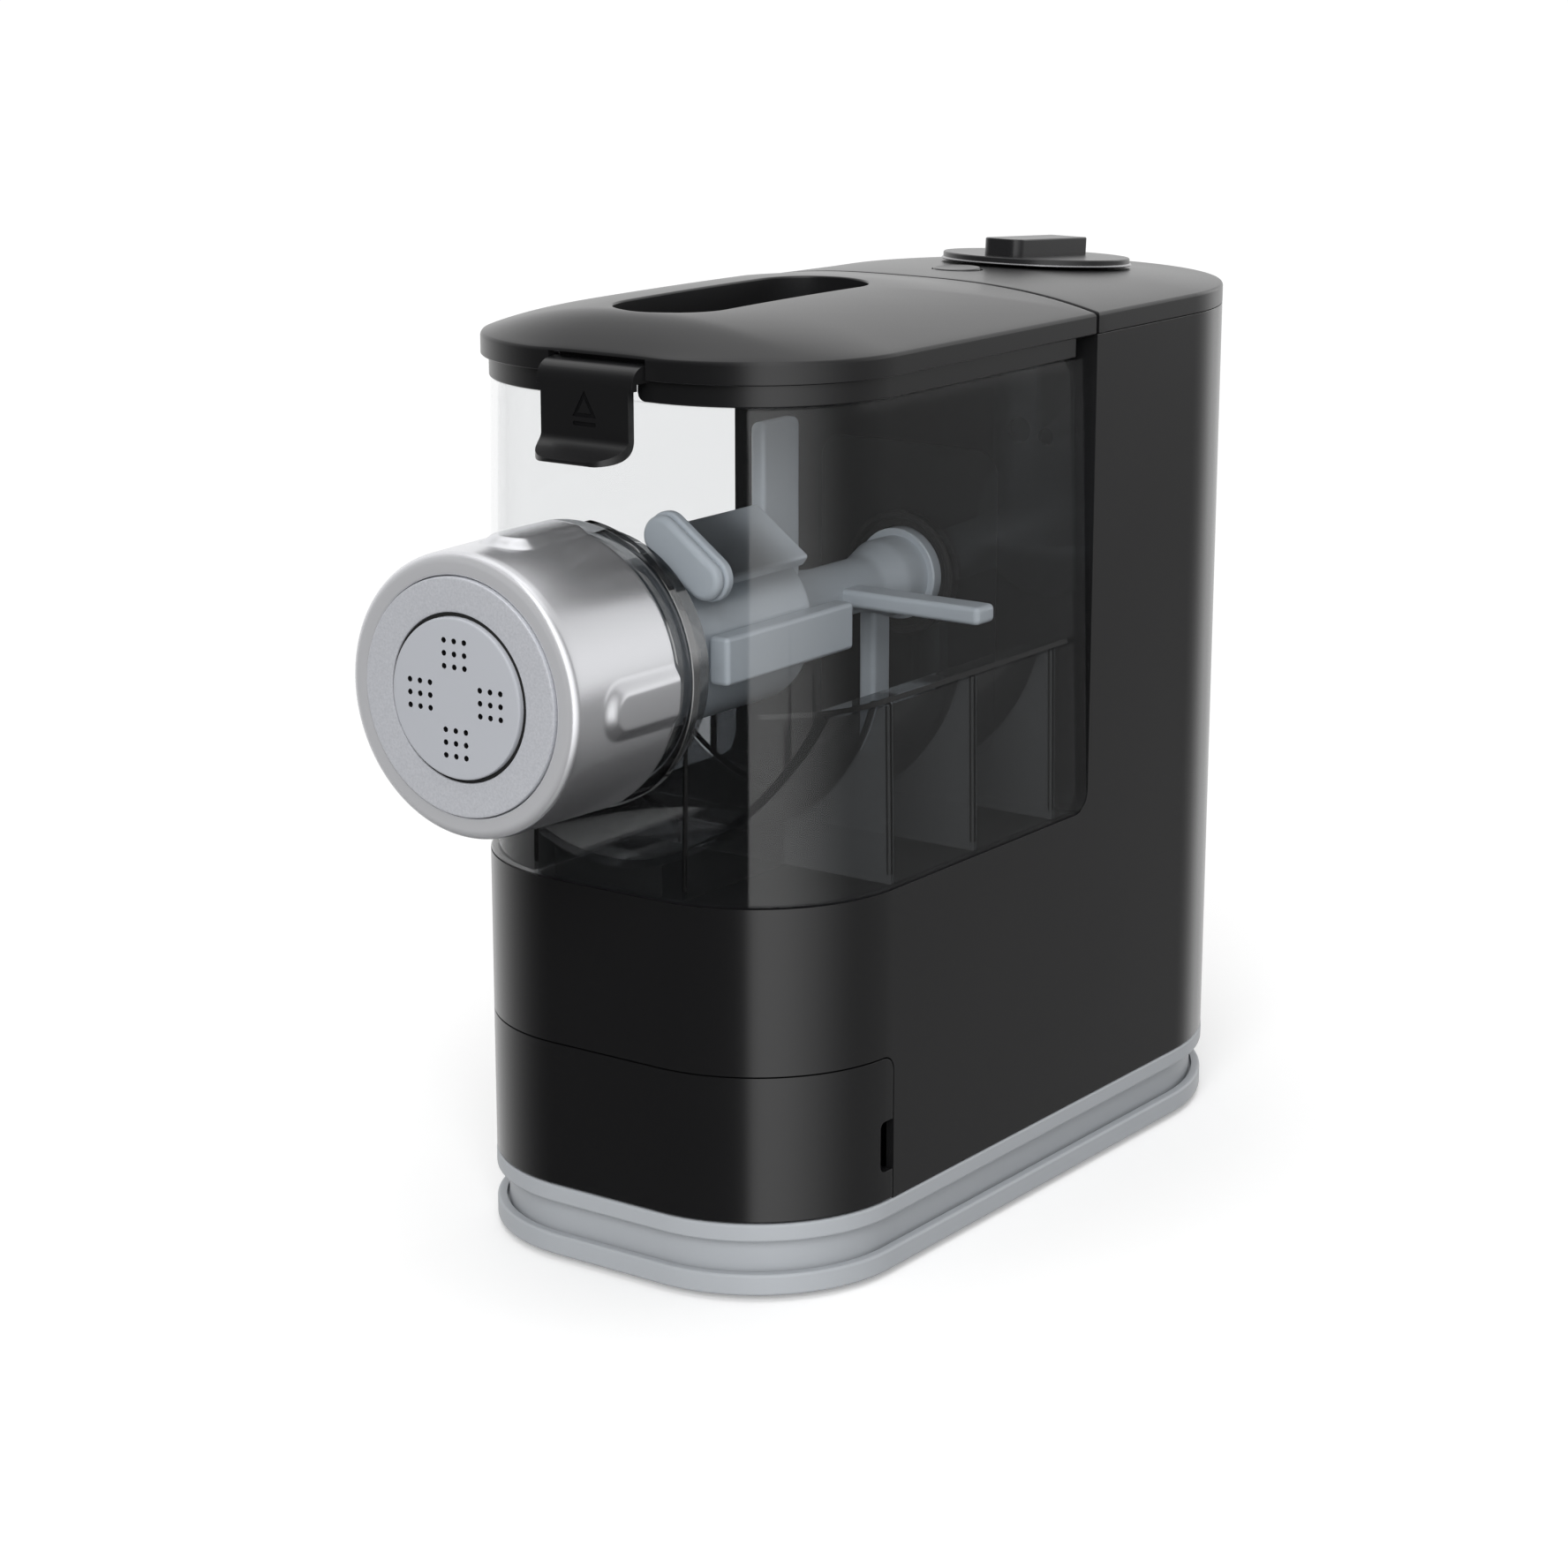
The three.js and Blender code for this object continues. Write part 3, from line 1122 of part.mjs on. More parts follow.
function makeTopCover() {
  const outer = crownedBlock(coverOutline(0, seamGap), rimZ, 0, edgeRound);
  const inner = crownedBlock(coverOutline(coverWall, seamGap), rimZ - overrun, coverWall, edgeRound);
  return cut(outer, inner,
    rodZ(knobStemRadius + buttonGap, rimZ, creaseZ + crownRise + overrun, 0, knobY),
    rodZ(buttonRadius + buttonGap, rimZ, creaseZ + crownRise + overrun, 0, buttonY, roundSides / 2));
}
function makeKnob() {
  const disc = turnedZ([[0, knobLift], [knobRadius - knobRimWidth, knobLift],
    [knobRadius - knobRimWidth, knobLift + knobThickness], [0, knobLift + knobThickness]], 0, 0);
  const [half, long] = [gripBarWidth / 2, gripBarLength / 2];
  const barShape = roundedRect(-half, half, -long, long, [half / 2, half / 2, edgeRound, edgeRound]);
  const bar = alongZ(barShape, 0, 0, {
    depth: knobThickness + gripBarHeight - knobLift * 2,
    bevelSize: knobLift, bevelThickness: knobLift, bevelOffset: -knobLift,
    bevelSegments: 1, curveSegments: cornerSteps / 2,
  }).translate([0, 0, knobLift * 2]);
  const stem = rodZ(knobStemRadius, -knobStemLength, knobLift + knobThickness / 2, 0, 0);
  return join(disc, bar, stem);
}
const makeKnobRing = () => turnedZ([[knobRadius - knobRimWidth, knobLift], [knobRadius, knobLift],
  [knobRadius, knobLift + knobRimThickness],
  [knobRadius - knobRimWidth, knobLift + knobRimThickness + edgeRound / 2]], 0, 0);
function makeButton() {
  const top = buttonSurfaceZ + buttonProud;
  const cap = turnedZ([[0, top - buttonThickness], [buttonRadius, top - buttonThickness],
    [buttonRadius, top - buttonProud / 2], [buttonRadius - buttonProud, top], [0, top]],
  0, buttonY, roundSides / 2);
  const stemBase = boardTop + tactHeight + buttonTravel + seatGap;
  return join(cap, rodZ(buttonStemRadius, stemBase, top - buttonThickness / 2, 0, buttonY));
}
function makeButtonSpring() {
  const [low, high] = [boardTop + tactHeight, buttonSurfaceZ + buttonProud - buttonThickness];
  const inner = springRadius - springWall;
  return turnedZ([[inner, low + seatGap], [springRadius, low + seatGap], [springRadius, high - seatGap],
    [inner, high - seatGap]], 0, buttonY, smallSides);
}
const makeTact = () => box(-tactSize, tactSize, buttonY - tactSize, buttonY + tactSize,
  boardTop, boardTop + tactHeight);
function makeControlBoard() {
  const half = halfWidth - shellWall - seatGap;
  const wide = box(-half, half, boardFrontY, boardBackY, controlShelfZ, boardTop);
  return wide.intersect(swept(footprint, [[shellWall + seatGap, controlShelfZ - overrun],
    [shellWall + seatGap, boardTop + overrun]], false));
}
function makeSelector() {
  const half = selectorWidth / 2;
  const top = boardTop + selectorHeight;
  return cut(box(-half, half, knobY - half, knobY + half, boardTop, top),
    rodZ(knobStemRadius + buttonGap + edgeRound, boardTop - overrun, top + overrun, 0, knobY));
}

// Small pieces: feet, screws, cord inlet, power board and the lid's safety switch
const footRadius = 9;
const footSideInset = 25.5;
const footFrontInset = 37.85;
const footBackInset = 50.6;
const footX = halfWidth - footSideInset;
const footFrontY = frontY + footFrontInset;
const footBackY = backY - footBackInset;
const footPlaces = cornerPlaces(footX, footFrontY, footBackY);
const makeFoot = (x, y) => turnedZ([[0, -footHeight], [footRadius - edgeRound, -footHeight],
  [footRadius, -footHeight + edgeRound], [footRadius - edgeRound, ledgeHeight], [0, ledgeHeight]],
x, y, smallSides);
const makeBaseScrew = (x, y) => turnedZ([[0, ledgeHeight - screwHeadHeight],
  [screwHeadRadius, ledgeHeight - screwHeadHeight],
  [screwHeadRadius, ledgeHeight], [screwRadius, ledgeHeight], [screwRadius, plateTop + screwLength - seatGap],
  [0, plateTop + screwLength - seatGap]], x, y, smallSides / 2);
const inletRadius = 3.6;
const inletBore = 2.4;
const inletFlange = 4.6;
const inletFlangeThickness = 1.5;
const inletZ = flangeHeight + grooveHeight / 2;
const inletInnerY = backY - plinthWall - inletFlangeThickness;
const inletOuterY = backY - grooveDepth + inletFlangeThickness;
const makeInlet = () => turnedY([[inletBore, inletInnerY], [inletRadius, inletInnerY],
  [inletRadius, backY - grooveDepth], [inletFlange, backY - grooveDepth], [inletFlange, inletOuterY],
  [inletBore, inletOuterY]], 0, inletZ, smallSides);
const makePowerBoard = () => box(-powerBoardWidth / 2, powerBoardWidth / 2, powerBoardY,
  powerBoardY + powerBoardLength, plateTop + boardPostHeight, plateTop + boardPostHeight + boardThickness);
const switchWidth = 20;
const switchDepth = 7;
const switchX = 30;
const makeSafetySwitch = () => box(switchX - switchWidth / 2, switchX + switchWidth / 2, shellWall,
  shellWall + switchDepth, switchBaseZ, switchBaseZ + switchHeight);

// The assembly
const inletHole = rodY(inletRadius, inletInnerY - overrun, backY + overrun, 0, inletZ, smallSides);
piece('base_plinth', cut(makePlinth(), inletHole), plinthGrey);
piece('base_plate', makeBasePlate(), innerBlack);
footPlaces.forEach(([x, y], i) => piece(`rubber_foot_${i + 1}`, makeFoot(x, y), rubber));
screwPlaces.forEach(([x, y], i) => piece(`base_screw_${i + 1}`, makeBaseScrew(x, y), steel));
piece('cord_inlet_bush', makeInlet(), rubber);
piece('lower_housing', makeLowerHousing(), blackPlastic);
piece('drive_tower', makeDriveTower(), blackPlastic);
piece('drive_panel', makePanel(), innerBlack);
piece('top_cover', makeTopCover(), blackPlastic);
piece('control_board', makeControlBoard(), boardGreen);
piece('button_switch', makeTact(), innerBlack);
piece('selector_switch', makeSelector(), innerBlack);
piece('power_board', makePowerBoard(), boardGreen);
piece('lid_safety_switch', makeSafetySwitch(), innerBlack);
piece('start_button', makeButton(), blackPlastic);
piece('button_spring', makeButtonSpring(), steel);

const knobGroup = new THREE.Group();
knobGroup.position.set(0, knobY, knobSurfaceZ);
knobGroup.rotation.x = -knobTilt;
machine.add(knobGroup);
piece('selector_knob', makeKnob(), blackPlastic, knobGroup);
piece('knob_trim_ring', makeKnobRing(), satinSilver, knobGroup);

piece('drawer_front', makeDrawerFront(), blackPlastic);
piece('drawer_tray', makeDrawerTray(), innerBlack);

piece('mixing_chamber', makeChamber(), clearPlastic);
piece('nozzle_neck', makeNeck(), clearPlastic);
piece('shaft_seal', makeShaftSeal(), rubber);
piece('lid_left', lidStrip(-1), blackPlastic);
piece('lid_middle', lidStrip(0), blackPlastic);
piece('lid_right', lidStrip(1), blackPlastic);
piece('lid_band_left', makeBand(-1), blackPlastic);
piece('lid_band_right', makeBand(1), blackPlastic);
piece('lid_latch', makeLatch(), blackPlastic);
piece('latch_pin', makeLatchPin(), steel);
piece('extrusion_tube', makeTube(), foodGrey);
piece('shaping_disc', makeDisc(), discGrey);
piece('locking_nut', makeNut(), satinSilver);
piece('nut_face_plate', makeFacePlate(), discGrey);
piece('kneading_hook', makeHook(), foodGrey);
piece('extrusion_screw', makeScrew(), foodGrey);

piece('gear_plate_front', makeFrontPlate(), castAlloy);
piece('gear_plate_rear', makeRearPlate(), castAlloy);
piece('output_bearing', makeBearing(), steel);
piece('output_shaft', makeOutputShaft(), steel);
piece('output_gear', makeOutputGear(), gearWhite);
piece('idler_shaft', idlerShaft(), steel);
piece('idler_gear', makeIdler(), gearWhite);
piece('motor_pinion', makeMotorPinion(), steel);
piece('motor_front_cap', endCap(motorFrontY, statorFrontY), castAlloy);
piece('motor_stator', makeStator(), copperIron);
piece('motor_rear_cap', endCap(motorBackY, statorBackY), castAlloy);
piece('motor_rotor', makeRotor(), copperIron);
piece('motor_shaft', makeMotorShaft(), steel);
piece('cooling_fan', makeFan(), innerBlack);

// The origin goes to the middle of the footprint, nozzle included, on the standing surface
const noseY = discFrontY;
machine.position.set(0, -(noseY + backY) / 2, footHeight);

export default maker;
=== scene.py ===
# %% [markdown]
# An electric pasta maker on a white table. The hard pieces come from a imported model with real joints.
# Here each visible one gets a finer surface in the same place, or just a better finish.
# Everything is in metres, +Z is up and the nozzle points towards -Y.

# %% Tools
import math

import bmesh
import bpy
import json
import numpy as np
from mathutils import Matrix, Vector


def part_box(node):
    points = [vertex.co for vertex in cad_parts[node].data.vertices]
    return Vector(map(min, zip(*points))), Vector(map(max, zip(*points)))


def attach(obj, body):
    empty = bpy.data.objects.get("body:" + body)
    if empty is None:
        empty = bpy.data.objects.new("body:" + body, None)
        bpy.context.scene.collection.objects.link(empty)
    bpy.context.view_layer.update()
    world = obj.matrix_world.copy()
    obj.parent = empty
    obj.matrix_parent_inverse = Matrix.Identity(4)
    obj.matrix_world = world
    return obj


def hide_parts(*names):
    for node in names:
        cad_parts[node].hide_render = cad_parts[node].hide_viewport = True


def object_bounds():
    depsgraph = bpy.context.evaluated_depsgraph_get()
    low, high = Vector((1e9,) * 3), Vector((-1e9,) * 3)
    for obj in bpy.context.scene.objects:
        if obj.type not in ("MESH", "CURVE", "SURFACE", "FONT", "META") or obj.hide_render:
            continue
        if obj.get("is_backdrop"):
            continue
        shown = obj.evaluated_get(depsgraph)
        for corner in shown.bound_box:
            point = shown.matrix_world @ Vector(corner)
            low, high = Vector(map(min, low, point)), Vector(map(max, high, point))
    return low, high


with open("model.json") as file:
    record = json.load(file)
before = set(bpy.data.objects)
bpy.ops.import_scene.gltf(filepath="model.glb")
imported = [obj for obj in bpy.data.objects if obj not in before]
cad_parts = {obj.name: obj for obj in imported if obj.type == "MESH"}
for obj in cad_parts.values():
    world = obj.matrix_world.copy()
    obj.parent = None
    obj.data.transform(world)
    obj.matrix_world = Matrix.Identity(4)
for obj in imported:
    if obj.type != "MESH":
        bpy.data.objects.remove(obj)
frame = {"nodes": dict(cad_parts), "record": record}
nodes = frame["nodes"]
cad_box = [list(corner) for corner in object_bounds()]

# %% [markdown]
# A model that fits its frame takes its sizes from there. The boxes of a few pieces give the width,
# the seams and the kneading axis. Only what the boxes can't say, such as a corner radius, is typed.

# %% Sizes taken from the frame
MM = 0.001
housing_low, housing_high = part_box("lower_housing")
tower_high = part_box("drive_tower")[1]
plinth_low, plinth_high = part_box("base_plinth")
chamber_low, chamber_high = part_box("mixing_chamber")
half_width = housing_high.x
front_y = housing_low.y
back_y = housing_high.y
plinth_base = plinth_low.z
rim_z = tower_high.z
rim_height = 6.3 * MM
crease_z = rim_z + rim_height
corner_radius = 48 * MM
back_centre_y = back_y - half_width
seam_y = chamber_high.y + 0.6 * MM
chamber_base = chamber_low.z
deck_z = chamber_base - 0.3 * MM
tube_low, tube_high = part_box("extrusion_tube")
axis_z = (tube_low.z + tube_high.z) / 2
print("body", round(2 * half_width / MM, 1), "mm wide, axis", round(axis_z / MM, 1), "mm up")

# %% [markdown]
# The photograph looks at the front corner from a little above. The camera stands where the
# perspective of the body's rounded outline says, with a short telephoto lens.

# %% Camera
azimuth, elevation = math.radians(35.629), math.radians(14.617)
back = Vector((math.sin(azimuth) * math.cos(elevation), -math.cos(azimuth) * math.cos(elevation),
               math.sin(elevation)))
right = Vector((math.cos(azimuth), math.sin(azimuth), 0))
up = back.cross(right)
camera_data = bpy.data.cameras.new("camera")
camera_data.lens = 82.95
camera_data.sensor_width = 36
camera = bpy.data.objects.new("camera", camera_data)
turn = Matrix((right, up, back)).transposed().to_4x4()
camera.matrix_world = Matrix.Translation((620.17 * MM, -886.52 * MM, 408.41 * MM)) @ turn
bpy.context.scene.collection.objects.link(camera)
bpy.context.scene.camera = camera

# %% [markdown]
# Shader maths reads best as sums. This small class wraps a socket, so that 1 - mask or noise * 0.2
# adds the Math node by itself. A finish holds one material and adds any other node by its type.


# %% A socket that can be used in sums
class Value:
    def __init__(self, tree, socket):
        self.tree, self.socket = tree, socket

    def sum_with(self, operation, other, swapped=False):
        node = self.tree.nodes.new("ShaderNodeMath")
        node.operation = operation
        pair = (other, self) if swapped else (self, other)
        for slot, value in zip(node.inputs, pair):
            fill(self.tree, slot, value)
        return Value(self.tree, node.outputs[0])

    def __add__(self, other):
        return self.sum_with("ADD", other)

    def __sub__(self, other):
        return self.sum_with("SUBTRACT", other)

    def __rsub__(self, other):
        return self.sum_with("SUBTRACT", other, True)

    def __mul__(self, other):
        return self.sum_with("MULTIPLY", other)

    def __pow__(self, other):
        return self.sum_with("POWER", other)

    def above(self, level):
        return self.sum_with("GREATER_THAN", level)

    __radd__ = __add__
    __rmul__ = __mul__


def fill(tree, slot, value):
    if isinstance(value, Value):
        tree.links.new(value.socket, slot)
    else:
        slot.default_value = value


# %% [markdown]
# A finish starts with the Principled shader. Numbers that are the same everywhere are set on its
# sockets. Only what changes over the surface is linked.


# %% A finish and its nodes
class Finish:
    def __init__(self, name, colour, roughness, **fixed):
        self.material = bpy.data.materials.new(name)
        self.material.use_nodes = True
        self.tree = self.material.node_tree
        self.shader = self.tree.nodes["Principled BSDF"]
        self.set("Base Color", (*colour, 1))
        self.set("Roughness", roughness)
        for socket, value in fixed.items():
            self.set(socket.replace("_", " ").title().replace("Ior", "IOR"), value)

    def set(self, socket, value):
        fill(self.tree, self.shader.inputs[socket], value)

    def add(self, kind, settings=None, output=0, **inputs):
        node = self.tree.nodes.new("ShaderNode" + kind)
        for key, value in (settings or {}).items():
            setattr(node, key, value)
        for key, value in inputs.items():
            fill(self.tree, node.inputs[key.replace("_", " ")], value)
        return Value(self.tree, node.outputs[output])

    def place(self):
        return self.add("TexCoord", output="Object")

    def noise(self, scale, detail=3, **more):
        return self.add("TexNoise", Vector=self.place(), Scale=scale, Detail=detail, **more)

    def blend(self, factor, dark, light):
        node = self.tree.nodes.new("ShaderNodeMix")
        node.data_type = "RGBA"
        for slot, value in zip((0, 6, 7), (factor, dark, light)):
            fill(self.tree, node.inputs[slot], (*value, 1) if isinstance(value, tuple) else value)
        return Value(self.tree, node.outputs[2])

    def bump(self, height, strength, distance):
        self.set("Normal", self.add("Bump", Strength=strength, Distance=distance, Height=height))


# %% [markdown]
# Moulded plastic is never one flat value. A steel mould is spark-eroded, which leaves a fine grain
# in the skin, and handling leaves faint smears. So each plastic gets a fine bump at the grain's
# scale, and a slow change of roughness over the whole face.


# %% Moulded plastic
def moulded(name, colour, roughness, grain=0.12, smear=0.05, lift=0.12, grain_scale=2600, **fixed):
    made = Finish(name, colour, roughness, **fixed)
    slow = made.noise(14, 4)
    fine = made.noise(grain_scale, 2)
    made.set("Roughness", (slow - 0.5) * smear + (fine - 0.5) * smear + roughness)
    darker = tuple(c * (1 - lift) for c in colour)
    lighter = tuple(c * (1 + lift) for c in colour)
    made.set("Base Color", made.blend(slow * 0.6 + fine * 0.4, darker, lighter))
    made.bump(fine, grain, 0.00002)
    return made.material


black_shell = moulded("black shell", (0.0078, 0.0078, 0.0082), 0.22, grain=0.12)
black_lid = moulded("black lid", (0.0085, 0.0085, 0.009), 0.3, grain=0.2)
black_control = moulded("black control", (0.016, 0.016, 0.017), 0.3, grain=0.2)
# the real black of inner parts, and painted shade on the walls of the disc's holes
black_inner_and_hole_shade = moulded("black inner and hole shade", (0.008, 0.008, 0.0085), 0.5, grain=0.4)
# painted shade: a darker, duller black for recesses, the deck under the chamber and the latch's mark
painted_shade_black = moulded("painted shade black", (0.006, 0.006, 0.0065), 0.6, grain=0.3, specular_ior_level=0.15)
plinth_grey = moulded("plinth grey", (0.36, 0.378, 0.40), 0.42, lift=0.03)
food_grey = moulded("food grey", (0.42, 0.46, 0.50), 0.32, grain=0.08, lift=0.03, coat_weight=0.2)
disc_grey = moulded("disc grey", (0.47, 0.485, 0.52), 0.4, grain=0.1, lift=0.02)
rubber_black = moulded("rubber", (0.012, 0.012, 0.012), 0.85, grain=0.6, grain_scale=1500)
gear_white = moulded("gear white", (0.72, 0.69, 0.6), 0.45, lift=0.05)
board_green = moulded("board green", (0.02, 0.11, 0.05), 0.4, lift=0.2)

# %% [markdown]
# The nut is satin metal: blasted with fine grit, so it mirrors only in broad soft bands. Its face
# plate is the same grey with a mineral sparkle, made here of tiny cells, a few of them brighter.


# %% Metals
def metal(name, colour, roughness, grain=0.1, grain_scale=3000, smear=0.04):
    made = Finish(name, colour, roughness, metallic=1.0)
    fine = made.noise(grain_scale, 2)
    slow = made.noise(30, 3)
    made.set("Roughness", (slow - 0.5) * smear + fine * smear + roughness)
    made.bump(fine, grain, 0.00002)
    return made.material


satin_silver = metal("satin silver", (0.66, 0.66, 0.68), 0.24)
bright_trim = metal("bright trim", (0.33, 0.33, 0.34), 0.25)
machined_steel = metal("machined steel", (0.5, 0.5, 0.51), 0.3)
cast_alloy = metal("cast alloy", (0.42, 0.42, 0.43), 0.5, grain=0.5, grain_scale=900)
motor_iron = metal("motor iron", (0.28, 0.2, 0.14), 0.45, grain=0.4, grain_scale=1200)

sparkle = Finish("sparkle grey", (0.5, 0.5, 0.52), 0.34, metallic=0.2)
cells = sparkle.add("TexVoronoi", output="Distance", Vector=sparkle.place(), Scale=1900)
speck = sparkle.noise(1500, 2)
sparkle.set("Base Color", sparkle.blend(speck, (0.46, 0.475, 0.51), (0.68, 0.69, 0.73)))
sparkle.set("Roughness", speck * 0.3 + 0.22)
sparkle.bump(cells + speck, 0.35, 0.00004)
sparkle_grey = sparkle.material

# %% [markdown]
# Clear plastic this thin hardly bends light, so a mix does well: what is behind shows through a
# slightly smoky tint, and a mirror layer grows towards the edges of the view as Fresnel's law says.


# %% Clear plastic
def clear_plastic(name, tint, roughness, mirror=1.0, haze=0.0, haze_colour=(0.7, 0.73, 0.75)):
    made = bpy.data.materials.new(name)
    made.use_nodes = True
    tree = made.node_tree
    tree.nodes.clear()
    kinds = ("OutputMaterial", "BsdfTransparent", "BsdfPrincipled", "MixShader", "BsdfPrincipled",
             "MixShader")
    out, through, gloss, mirrored_mix, skin, haze_mix = [
        tree.nodes.new("ShaderNode" + kind) for kind in kinds]
    through.inputs["Color"].default_value = (*tint, 1)
    gloss.inputs["Metallic"].default_value = 1
    gloss.inputs["Base Color"].default_value = (1, 1, 1, 1)
    gloss.inputs["Roughness"].default_value = roughness
    skin.inputs["Base Color"].default_value = (*haze_colour, 1)
    skin.inputs["Roughness"].default_value = 0.4
    haze_mix.inputs[0].default_value = haze
    facing = tree.nodes.new("ShaderNodeLayerWeight")
    facing.inputs["Blend"].default_value = 0.5
    grazing = Value(tree, facing.outputs["Facing"])
    fill(tree, mirrored_mix.inputs[0], (grazing ** 5.0 * 0.96 + 0.04) * mirror)
    for start, end in ((through.outputs[0], haze_mix.inputs[1]), (skin.outputs[0], haze_mix.inputs[2]),
                       (haze_mix.outputs[0], mirrored_mix.inputs[1]),
                       (gloss.outputs[0], mirrored_mix.inputs[2]), (mirrored_mix.outputs[0], out.inputs[0])):
        tree.links.new(start, end)
    return made


clear_wall = clear_plastic("clear wall", (0.96, 0.963, 0.965), 0.04, 0.55, 0.002)
# The line, trough and rib tints are far darker than the wall: painted darkening where thick plastic turns the
# light away.
clear_line = clear_plastic("clear line", (0.1, 0.1, 0.105), 0.15, 0.5)
clear_trough = clear_plastic("clear trough", (0.46, 0.47, 0.48), 0.06, 0.5, 0.012)
clear_rib = clear_plastic("clear rib", (0.46, 0.47, 0.48), 0.1, 0.4, 0.05)
clear_edge = clear_plastic("clear edge", (0.6, 0.61, 0.62), 0.02, 4.0)

# %% [markdown]
# Most surfaces here are lofts: a row of rings with the same number of points, joined by quads.
# One helper makes a mesh from points and faces, smooths it and keeps its real edges sharp.
# Weighted normals let big flat faces stay flat beside narrow rounded ones.


# %% Mesh helpers
def piece(name, points, faces, material, body, stands_for=(), slot=None, sharp=35):
    mesh = bpy.data.meshes.new(name)
    mesh.from_pydata([tuple(p) for p in points], [], faces)
    made = bpy.data.objects.new(name, mesh)
    bpy.context.scene.collection.objects.link(made)
    if body:
        dress(made, material, body, stands_for, sharp)
    return made


def dress(made, material, body, stands_for=(), sharp=35, edges=()):
    clean(made.data)
    kept = [face.material_index for face in made.data.polygons]
    made.data.materials.clear()
    made.data.materials.append(material)
    for more in edges:
        made.data.materials.append(more)
    if edges:
        made.data.polygons.foreach_set("material_index", kept)
    made.data.shade_smooth()
    made.data.set_sharp_from_angle(angle=math.radians(sharp))
    normals = made.modifiers.new("weighted normals", "WEIGHTED_NORMAL")
    normals.keep_sharp = True
    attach(made, body)
    if stands_for:
        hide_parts(*stands_for)
    return made


def clean(mesh):
    grid = bmesh.new()
    grid.from_mesh(mesh)
    bmesh.ops.remove_doubles(grid, verts=grid.verts, dist=2e-6)
    bmesh.ops.dissolve_degenerate(grid, edges=grid.edges, dist=1e-6)
    bmesh.ops.recalc_face_normals(grid, faces=grid.faces)
    grid.to_mesh(mesh)
    grid.free()


def ring_faces(rings, around, joined=False, capped=True, open_ring=False):
    faces = []
    for j in range(rings if joined else rings - 1):
        for i in range(around - 1 if open_ring else around):
            k, n = (j + 1) % rings, (i + 1) % around
            faces.append((j * around + i, j * around + n, k * around + n, k * around + i))
    if capped and not joined:
        faces.append(tuple(reversed(range(around))))
        faces.append(tuple((rings - 1) * around + i for i in range(around)))
    return faces


def loft(name, rings, material=None, body=None, joined=False, capped=True, **more):
    faces = ring_faces(len(rings), len(rings[0]), joined, capped)
    return piece(name, [p for ring in rings for p in ring], faces, material, body, **more)


def lathe(name, profile, x=0, z=None, steps=96, material=None, body=None, **more):
    middle = axis_z if z is None else z
    rings = []
    for k in range(steps):
        turn = 2 * math.pi * k / steps
        rings.append([Vector((x + r * math.sin(turn), y, middle + r * math.cos(turn))) for r, y in profile])
    return loft(name, rings, material, body, joined=True, **more)


# %% [markdown]
# Where two shapes meet in a clean cut, a boolean does it, and the result is kept as a plain mesh.
# A small bevel on the edges that it leaves is what a moulded or machined edge has.


# %% Cutting and softening
def baked(made):
    graph = bpy.context.evaluated_depsgraph_get()
    mesh = bpy.data.meshes.new_from_object(made.evaluated_get(graph))
    made.modifiers.clear()
    made.data = mesh
    return made


def cut(made, *tools, operation="DIFFERENCE"):
    for shape in (made, *tools):
        clean(shape.data)
    for tool in tools:
        carve = made.modifiers.new("cut", "BOOLEAN")
        carve.operation = operation
        carve.solver = "EXACT"
        carve.object = tool
    baked(made)
    for tool in tools:
        bpy.data.objects.remove(tool)
    return made


def soften(made, width, angle=50, segments=2, edges=-1):
    clean(made.data)
    bevel = made.modifiers.new("edges", "BEVEL")
    bevel.width = width
    bevel.segments = segments
    bevel.angle_limit = math.radians(angle)
    bevel.material = edges
    return baked(made)


def prism(name, outline, axis, low, high):
    """A flat outline pushed along an axis: its two numbers are the other two coordinates in order."""
    order = {"x": (2, 0, 1), "y": (0, 2, 1), "z": (0, 1, 2)}[axis]
    rings = []
    for depth in (low, high):
        rings.append([Vector([(p[0], p[1], depth)[k] for k in order]) for p in outline])
    return loft(name, rings)


def arc(cx, cy, radius, start, stop, steps):
    turns = [math.radians(start + (stop - start) * i / steps) for i in range(steps + 1)]
    return [Vector((cx + radius * math.cos(t), cy + radius * math.sin(t))) for t in turns]


def rounded(u0, u1, v0, v1, radii, steps=8):
    a, b, c, d = radii if isinstance(radii, tuple) else (radii,) * 4
    return (arc(u0 + a, v0 + a, a, 180, 270, steps) + arc(u1 - b, v0 + b, b, 270, 360, steps)
            + arc(u1 - c, v1 - c, c, 0, 90, steps) + arc(u0 + d, v1 - d, d, 90, 180, steps))


# %% [markdown]
# Seen from above the body is a D with two round front corners. Inset rings of that outline, stacked
# at different heights, give the plinth with its groove and the rounded edges of the casing.


# %% Outlines of the body
def footprint(inset=0.0):
    radius = corner_radius - inset
    cx, cy = half_width - corner_radius, front_y + corner_radius
    return (arc(-cx, cy, radius, 180, 270, 28) + arc(cx, cy, radius, 270, 360, 28)
            + arc(0, back_centre_y, half_width - inset, 0, 180, 72))


def level(outline, z):
    return [Vector((p[0], p[1], z)) for p in outline]


def stacked(name, outline_at, profile, **more):
    return loft(name, [level(outline_at(inset), z) for inset, z in profile], **more)


def rounding(inset, z, radius, start, stop, steps=4):
    """Points of a quarter round for a profile of (inset, z): angles are measured from straight out."""
    return [(inset + radius - radius * math.cos(math.radians(t)), z + radius * math.sin(math.radians(t)))
            for t in np.linspace(start, stop, steps + 1)]


